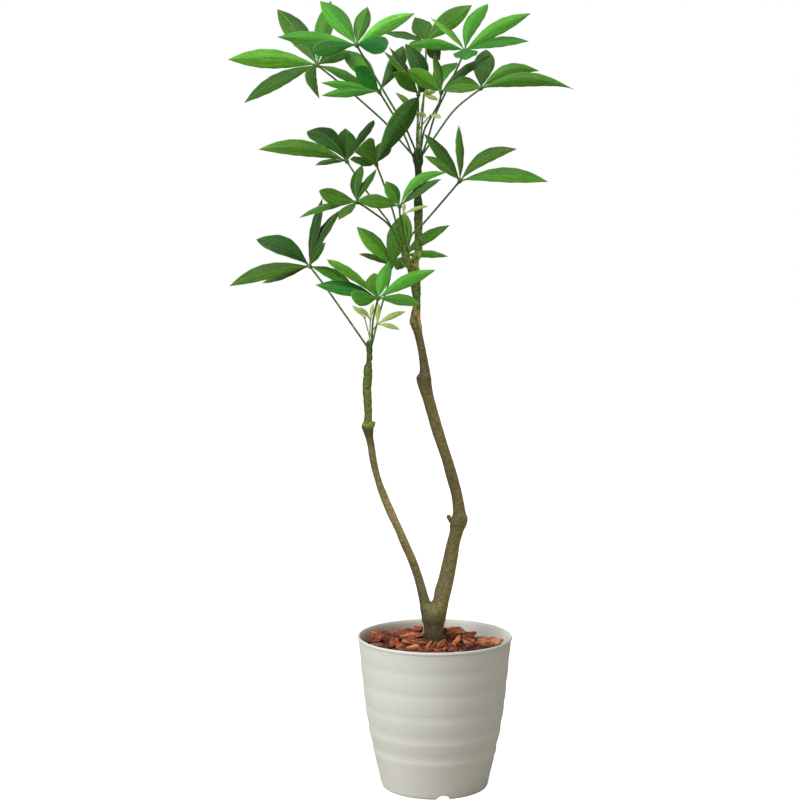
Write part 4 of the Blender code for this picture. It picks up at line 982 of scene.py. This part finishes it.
def waved_leaflet(draw, start, row, colour):
    """Points, faces, blade places and colours of one leaflet: a thin lens with a rib below. The colours
    hold painted shade, darker on one half beside the midrib.
    """
    wide, turn = row[3] * MM, row[4]
    bow, taper, sway = row[5:] + (BOW, WIDEST_END, 0)[len(row) - 5:]
    start = start + (seen_at(row) - start).normalized() * NECK_START
    length, run, cross, upward = blade_frame(start, seen_at(row), turn)
    arch = (Vector((0, 0, 1)) - run * run.z) * ARCH_UP + upward * ARCH_OUT
    bend = arch * bow * length + Vector((sway * MM, 0, 0))
    peak = WIDEST_START / (WIDEST_START + taper)
    full = peak ** WIDEST_START * (1 - peak) ** taper
    waves = [(draw.uniform(20, 34) * MM, draw.uniform(0, 6.28)) for _ in range(2)]
    points = []
    places = []
    tones_and_shade = []
    painted_half_shade = draw.choice((-1, 1)) * HALF_SHADE
    fade = draw.uniform(-0.3, 0.3)
    for step in range(LEAFLET_STEPS + 1):
        t = (step / LEAFLET_STEPS) ** 1.15
        swell = t ** WIDEST_START * (1 - t) ** taper / full
        least = NECK_HALF * (1 - t) ** 3 + TIP_HALF
        half = max(wide / 2 * swell, min(least, wide / 4))
        centre = start + run * length * t + bend * 4 * t * (1 - t)
        neck = max(0, 1 - t / 0.09) ** 2
        upper = []
        lower = []
        for ratio in ACROSS:
            reach = abs(ratio)
            drop = -math.tan(FOLD) * half * (0.55 * reach + 0.45 * reach * reach)
            wave_length, phase = waves[0 if ratio < 0 else 1]
            wave = math.sin(2 * math.pi * t * length / wave_length + phase) * WAVE * half * reach ** 2
            skin = BLADE / 2 * (1 - 0.55 * reach ** 4) + neck * NECK_SKIN * (1 - reach ** 2)
            groove = GROOVE * (1 - neck) * max(0, 1 - reach / 0.12)
            rib = RIB_DEPTH * (1 - t) * max(0, 1 - reach / 0.16) * min(1, half / (6 * MM))
            middle = centre + cross * half * ratio + upward * (drop + wave)
            upper.append(middle + upward * (skin - groove))
            lower.append(middle - upward * (skin + rib))
        points += upper + lower[::-1]
        places += [Vector((t * length, ratio * half, abs(ratio))) for ratio in ACROSS]
        places += [Vector((t * length, ratio * half, -1 - abs(ratio))) for ratio in ACROSS[::-1]]
        for ratio in ACROSS + ACROSS[::-1]:
            # Painted shade: one half of the blade beside the midrib is darker, as the half of the fold
            # turned from the light.
            light = 1 + painted_half_shade * within(ratio * 6, -1, 1) + fade * (t - 0.5)
            tones_and_shade.append(tuple(part * light for part in colour[:3]) + colour[3:])
    return points, ring_faces(LEAFLET_STEPS + 1, len(ACROSS) * 2), places, tones_and_shade


def leathery_leaflet(tree):
    """A thick waxy leaf: soft uneven gloss, a pale midrib, a painted highlight along the edge of the upper
    side, side ribs that slant to the tip, mottling 36 and 11 mm across, and a duller underside."""
    blade = add(tree, "Attribute", {"attribute_name": "blade"}).outputs["Vector"]
    # The tint holds each leaflet's green with its painted light and shade, and the midrib's share in its
    # fourth value.
    tint = add(tree, "Attribute", {"attribute_name": "tint"})
    along, sideways, edge = add(tree, "SeparateXYZ", links={0: blade}).outputs
    across = add(tree, "Math", {"operation": "ABSOLUTE"}, links={0: sideways})
    slant = add(tree, "Math", {"operation": "MULTIPLY_ADD"}, {1: -0.62}, {0: across, 2: along})
    count = add(tree, "Math", TIMES, {1: 1000 / RIB_SPACING_MM}, {0: slant})
    rib_wave = add(tree, "Math", {"operation": "PINGPONG"}, {1: 0.5}, {0: count})
    ribs = add(tree, "MapRange", values={1: 0.0, 2: 0.11, 3: 1.0, 4: 0.0}, links={0: rib_wave})
    midrib = add(tree, "MapRange", values={1: 0.0003, 2: 0.0011, 3: 1.0, 4: 0.0}, links={0: across})
    below = add(tree, "Math", {"operation": "LESS_THAN"}, {1: 0.0}, {0: edge})
    mottle = add(tree, "TexNoise", values={"Scale": 90.0, "Detail": 5.0, "Roughness": 0.6},
                 links={"Vector": blade})
    broad = add(tree, "TexNoise", values={"Scale": 28.0, "Detail": 3.0}, links={"Vector": blade})
    patch = add(tree, "ValToRGB", links={0: broad},
                stops=[(0.33, "#74988A"), (0.46, "#C8DAB8"), (0.57, "#FFF2A0"), (0.7, "#FFFFB0")])
    patchy = add(tree, "Mix", MULTIPLY, {0: 1.0}, {6: tint, 7: patch})
    shade = add(tree, "MapRange", values={1: 0.34, 2: 0.66, 3: 0.5, 4: 1.65}, links={0: mottle})
    uneven = add(tree, "Mix", MULTIPLY, {0: 1.0}, {6: patchy, 7: shade})
    rib_share = add(tree, "Math", TIMES, {1: 0.12}, {0: ribs})
    ribbed = add(tree, "Mix", MIX, {7: linear("#86B040")}, {0: rib_share, 6: uneven})
    mid_share = add(tree, "Math", TIMES, links={0: midrib, 1: tint.outputs["Alpha"]})
    lined = add(tree, "Mix", MIX, {7: linear("#B4CC78")}, {0: mid_share, 6: ribbed})
    # Painted highlight: a pale line of light along the edge of the upper side.
    rim_highlight = add(tree, "MapRange", values={1: 0.84, 2: 1.0, 3: 0.0, 4: 0.34}, links={0: edge})
    rim_lit = add(tree, "Mix", MIX, {7: linear("#9CC45E")}, {0: rim_highlight, 6: lined})
    dull = add(tree, "Mix", MIX, {0: 0.35, 7: linear("#5A7A38")}, {6: lined})
    sided = add(tree, "Mix", MIX, links={0: below, 6: rim_lit, 7: dull})
    height = add(tree, "Math", {"operation": "MULTIPLY_ADD"}, {1: 0.4}, {0: mottle, 2: ribs})
    bump = add(tree, "Bump", values={"Strength": 0.6, "Distance": 0.0006}, links={"Height": height})
    gloss = add(tree, "MapRange", values={1: 0.3, 2: 0.7, 3: 0.36, 4: 0.54}, links={0: mottle})
    return {"Base Color": sided, "Roughness": gloss, "Normal": bump}


def green_stalk(tree):
    """A smooth round stalk: satin, dark green, with paler flecks of 5 to 6 mm."""
    place = add(tree, "TexCoord").outputs["Object"]
    speck = add(tree, "TexNoise", values={"Scale": 180.0, "Detail": 4.0}, links={"Vector": place})
    tone = add(tree, "ValToRGB", links={0: speck},
               stops=[(0.3, "#2E4A1C"), (0.5, "#48702A"), (0.7, "#769C46")])
    bump = add(tree, "Bump", values={"Strength": 0.3, "Distance": 0.0004}, links={"Height": speck})
    return {"Base Color": tone, "Normal": bump}


def write_colours(piece, name, colours):
    """Keep one colour, with a fourth value beside it, for each point of a piece."""
    kept = piece.data.attributes.new(name, "FLOAT_COLOR", "POINT")
    kept.data.foreach_set("color", [value for colour in colours for value in colour])


def frond(name, parts, materials, node):
    """Join stalks and leaflets, (points, faces, places, colours) each, as one piece on the trunk."""
    points = []
    faces = []
    places = []
    tints = []
    kinds = []
    for part_points, part_faces, part_places, part_tones_and_shade in parts:
        faces += moved_faces(part_faces, len(points))
        points += part_points
        places += part_places or [Vector()] * len(part_points)
        tints += part_tones_and_shade or [(0, 0, 0, 0)] * len(part_points)
        kinds += [0 if part_places else 1] * len(part_faces)
    piece = mesh_piece(name, points, faces)
    write_vectors(piece, "blade", places)
    # The tint carries each leaflet's colour with its painted shade.
    write_colours(piece, "tint", tints)
    for made in materials:
        piece.data.materials.append(made)
    piece.data.polygons.foreach_set("material_index", kinds)
    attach(piece, "root")
    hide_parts(node)


cuticle = {"Roughness": 0.42, "IOR": 1.45, "Specular IOR Level": 0.2}
leaf_materials = [finish_material(leathery_leaflet, cuticle),
                  finish_material(green_stalk, {"Roughness": 0.5, "IOR": 1.45})]
for number, (node, (stalk, leaflets, tints)) in enumerate(LEAVES.items()):
    draw = random.Random(100 + number)
    line = [seen_at(row) for row in stalk]
    parts = [round_stalk(line, STALK_RADIUS, STALK_BASE, HUB_RADIUS, STALK_STEPS, STALK_SIDES)]
    for row, tint in zip(leaflets, tints.split()):
        colour = linear(LEAF_TINTS[tint], MIDRIB_SHOWS * draw.uniform(0.2, 1.8))
        parts.append(waved_leaflet(draw, line[-1], row, colour))
    frond(node.replace("leaf", "frond"), parts, leaf_materials, node)

# The young shoots: thin pale stalks with small soft leaflets that have just opened, on the
# crown, on the short branch and on the end of the left stem.
YOUNG_STALK_RADIUS = 1.2 * MM
YOUNG_HUB_RADIUS = 2.3 * MM
YOUNG_TINT = linear("#9DBB55")
# Each shoot: its stalks, each with the hub last, and the leaflets on them, laid out as the leaves.
SHOOTS = {
    "young_crown": [
        ([(418.6, 156, 8), (418.8, 144, 3), (419, 130, -8), (416.4, 112.6, -20)],
         [(395.5, 92.7, -40, 12, 20), (426.6, 117.7, -48, 10, 20)]),
        ([(418.8, 144, 3), (419, 130, -8), (430.7, 115.1, -45)],
         [(441.4, 117.7, -62, 9, 20)]),
        ([(418.8, 144, 3), (419, 130, -8), (421, 112, -22), (423.6, 95.7, -28)],
         [(428.2, 89.6, -40, 8, 20), (436.8, 90.6, -34, 9, 20), (438.4, 100.3, -44, 9, 20)]),
    ],
    "young_branch": [
        ([(407, 249, -31), (406.6, 240, -36), (405, 228, -44), (403.5, 214, -48)],
         [(428.6, 206.1, -56, 8, 20), (404.4, 202.4, -40, 7, 10)]),
    ],
    "young_stem": [
        ([(369.4, 346, -12), (369.6, 338, -14), (373, 330, -20), (377.4, 324.1, -28)],
         [(405.8, 311.5, -36, 12, 20), (399.8, 329.7, -44, 10, 20), (378.4, 302.4, -20, 11, 20)]),
        ([(369.4, 346, -12), (369.6, 338, -14), (370.4, 319.2, -18)],
         [(359.1, 307.3, -20, 9, 20), (373.2, 303.1, -10, 8, 20)]),
        ([(369.4, 346, -12), (369.6, 338, -14), (364.5, 317.5, -6)],
         [(352.1, 305.6, 2, 9, 20)]),
    ],
}


def soft_leaflet(tree):
    """Newly grown leaflets: thin, satin and pale yellow-green, mottled over 6 mm, with a light midrib."""
    blade = add(tree, "Attribute", {"attribute_name": "blade"}).outputs["Vector"]
    parts = add(tree, "SeparateXYZ", links={0: blade})
    across = add(tree, "Math", {"operation": "ABSOLUTE"}, links={0: parts.outputs[1]})
    mottle = add(tree, "TexNoise", values={"Scale": 160.0, "Detail": 4.0}, links={"Vector": blade})
    tone = add(tree, "ValToRGB", links={0: mottle},
               stops=[(0.3, "#7F9E3E"), (0.52, "#9DBB55"), (0.75, "#BCD27A")])
    midrib = add(tree, "MapRange", values={1: 0.0002, 2: 0.0008, 3: 0.6, 4: 0.0}, links={0: across})
    lined = add(tree, "Mix", MIX, {7: linear("#D4E0A0")}, {0: midrib, 6: tone})
    bump = add(tree, "Bump", values={"Strength": 0.3, "Distance": 0.0003}, links={"Height": mottle})
    return {"Base Color": lined, "Normal": bump}


def soft_stalk(tree):
    """A juicy thin stalk, paler than the grown ones, with flecks of 4 to 5 mm."""
    place = add(tree, "TexCoord").outputs["Object"]
    speck = add(tree, "TexNoise", values={"Scale": 220.0, "Detail": 3.0}, links={"Vector": place})
    tone = add(tree, "ValToRGB", links={0: speck},
               stops=[(0.3, "#6E8A38"), (0.52, "#86A448"), (0.75, "#A8C068")])
    return {"Base Color": tone}


young_materials = [finish_material(soft_leaflet, {"Roughness": 0.45, "IOR": 1.45}),
                   finish_material(soft_stalk, {"Roughness": 0.5, "IOR": 1.45})]
for number, (node, stalks) in enumerate(SHOOTS.items()):
    draw = random.Random(200 + number)
    parts = []
    for stalk, leaflets in stalks:
        line = [seen_at(row) for row in stalk]
        parts.append(round_stalk(line, YOUNG_STALK_RADIUS, STALK_RADIUS, YOUNG_HUB_RADIUS, 16, 10))
        for row in leaflets:
            parts.append(waved_leaflet(draw, line[-1], row, YOUNG_TINT))
    frond(node.replace("young", "shoot"), parts, young_materials, node)
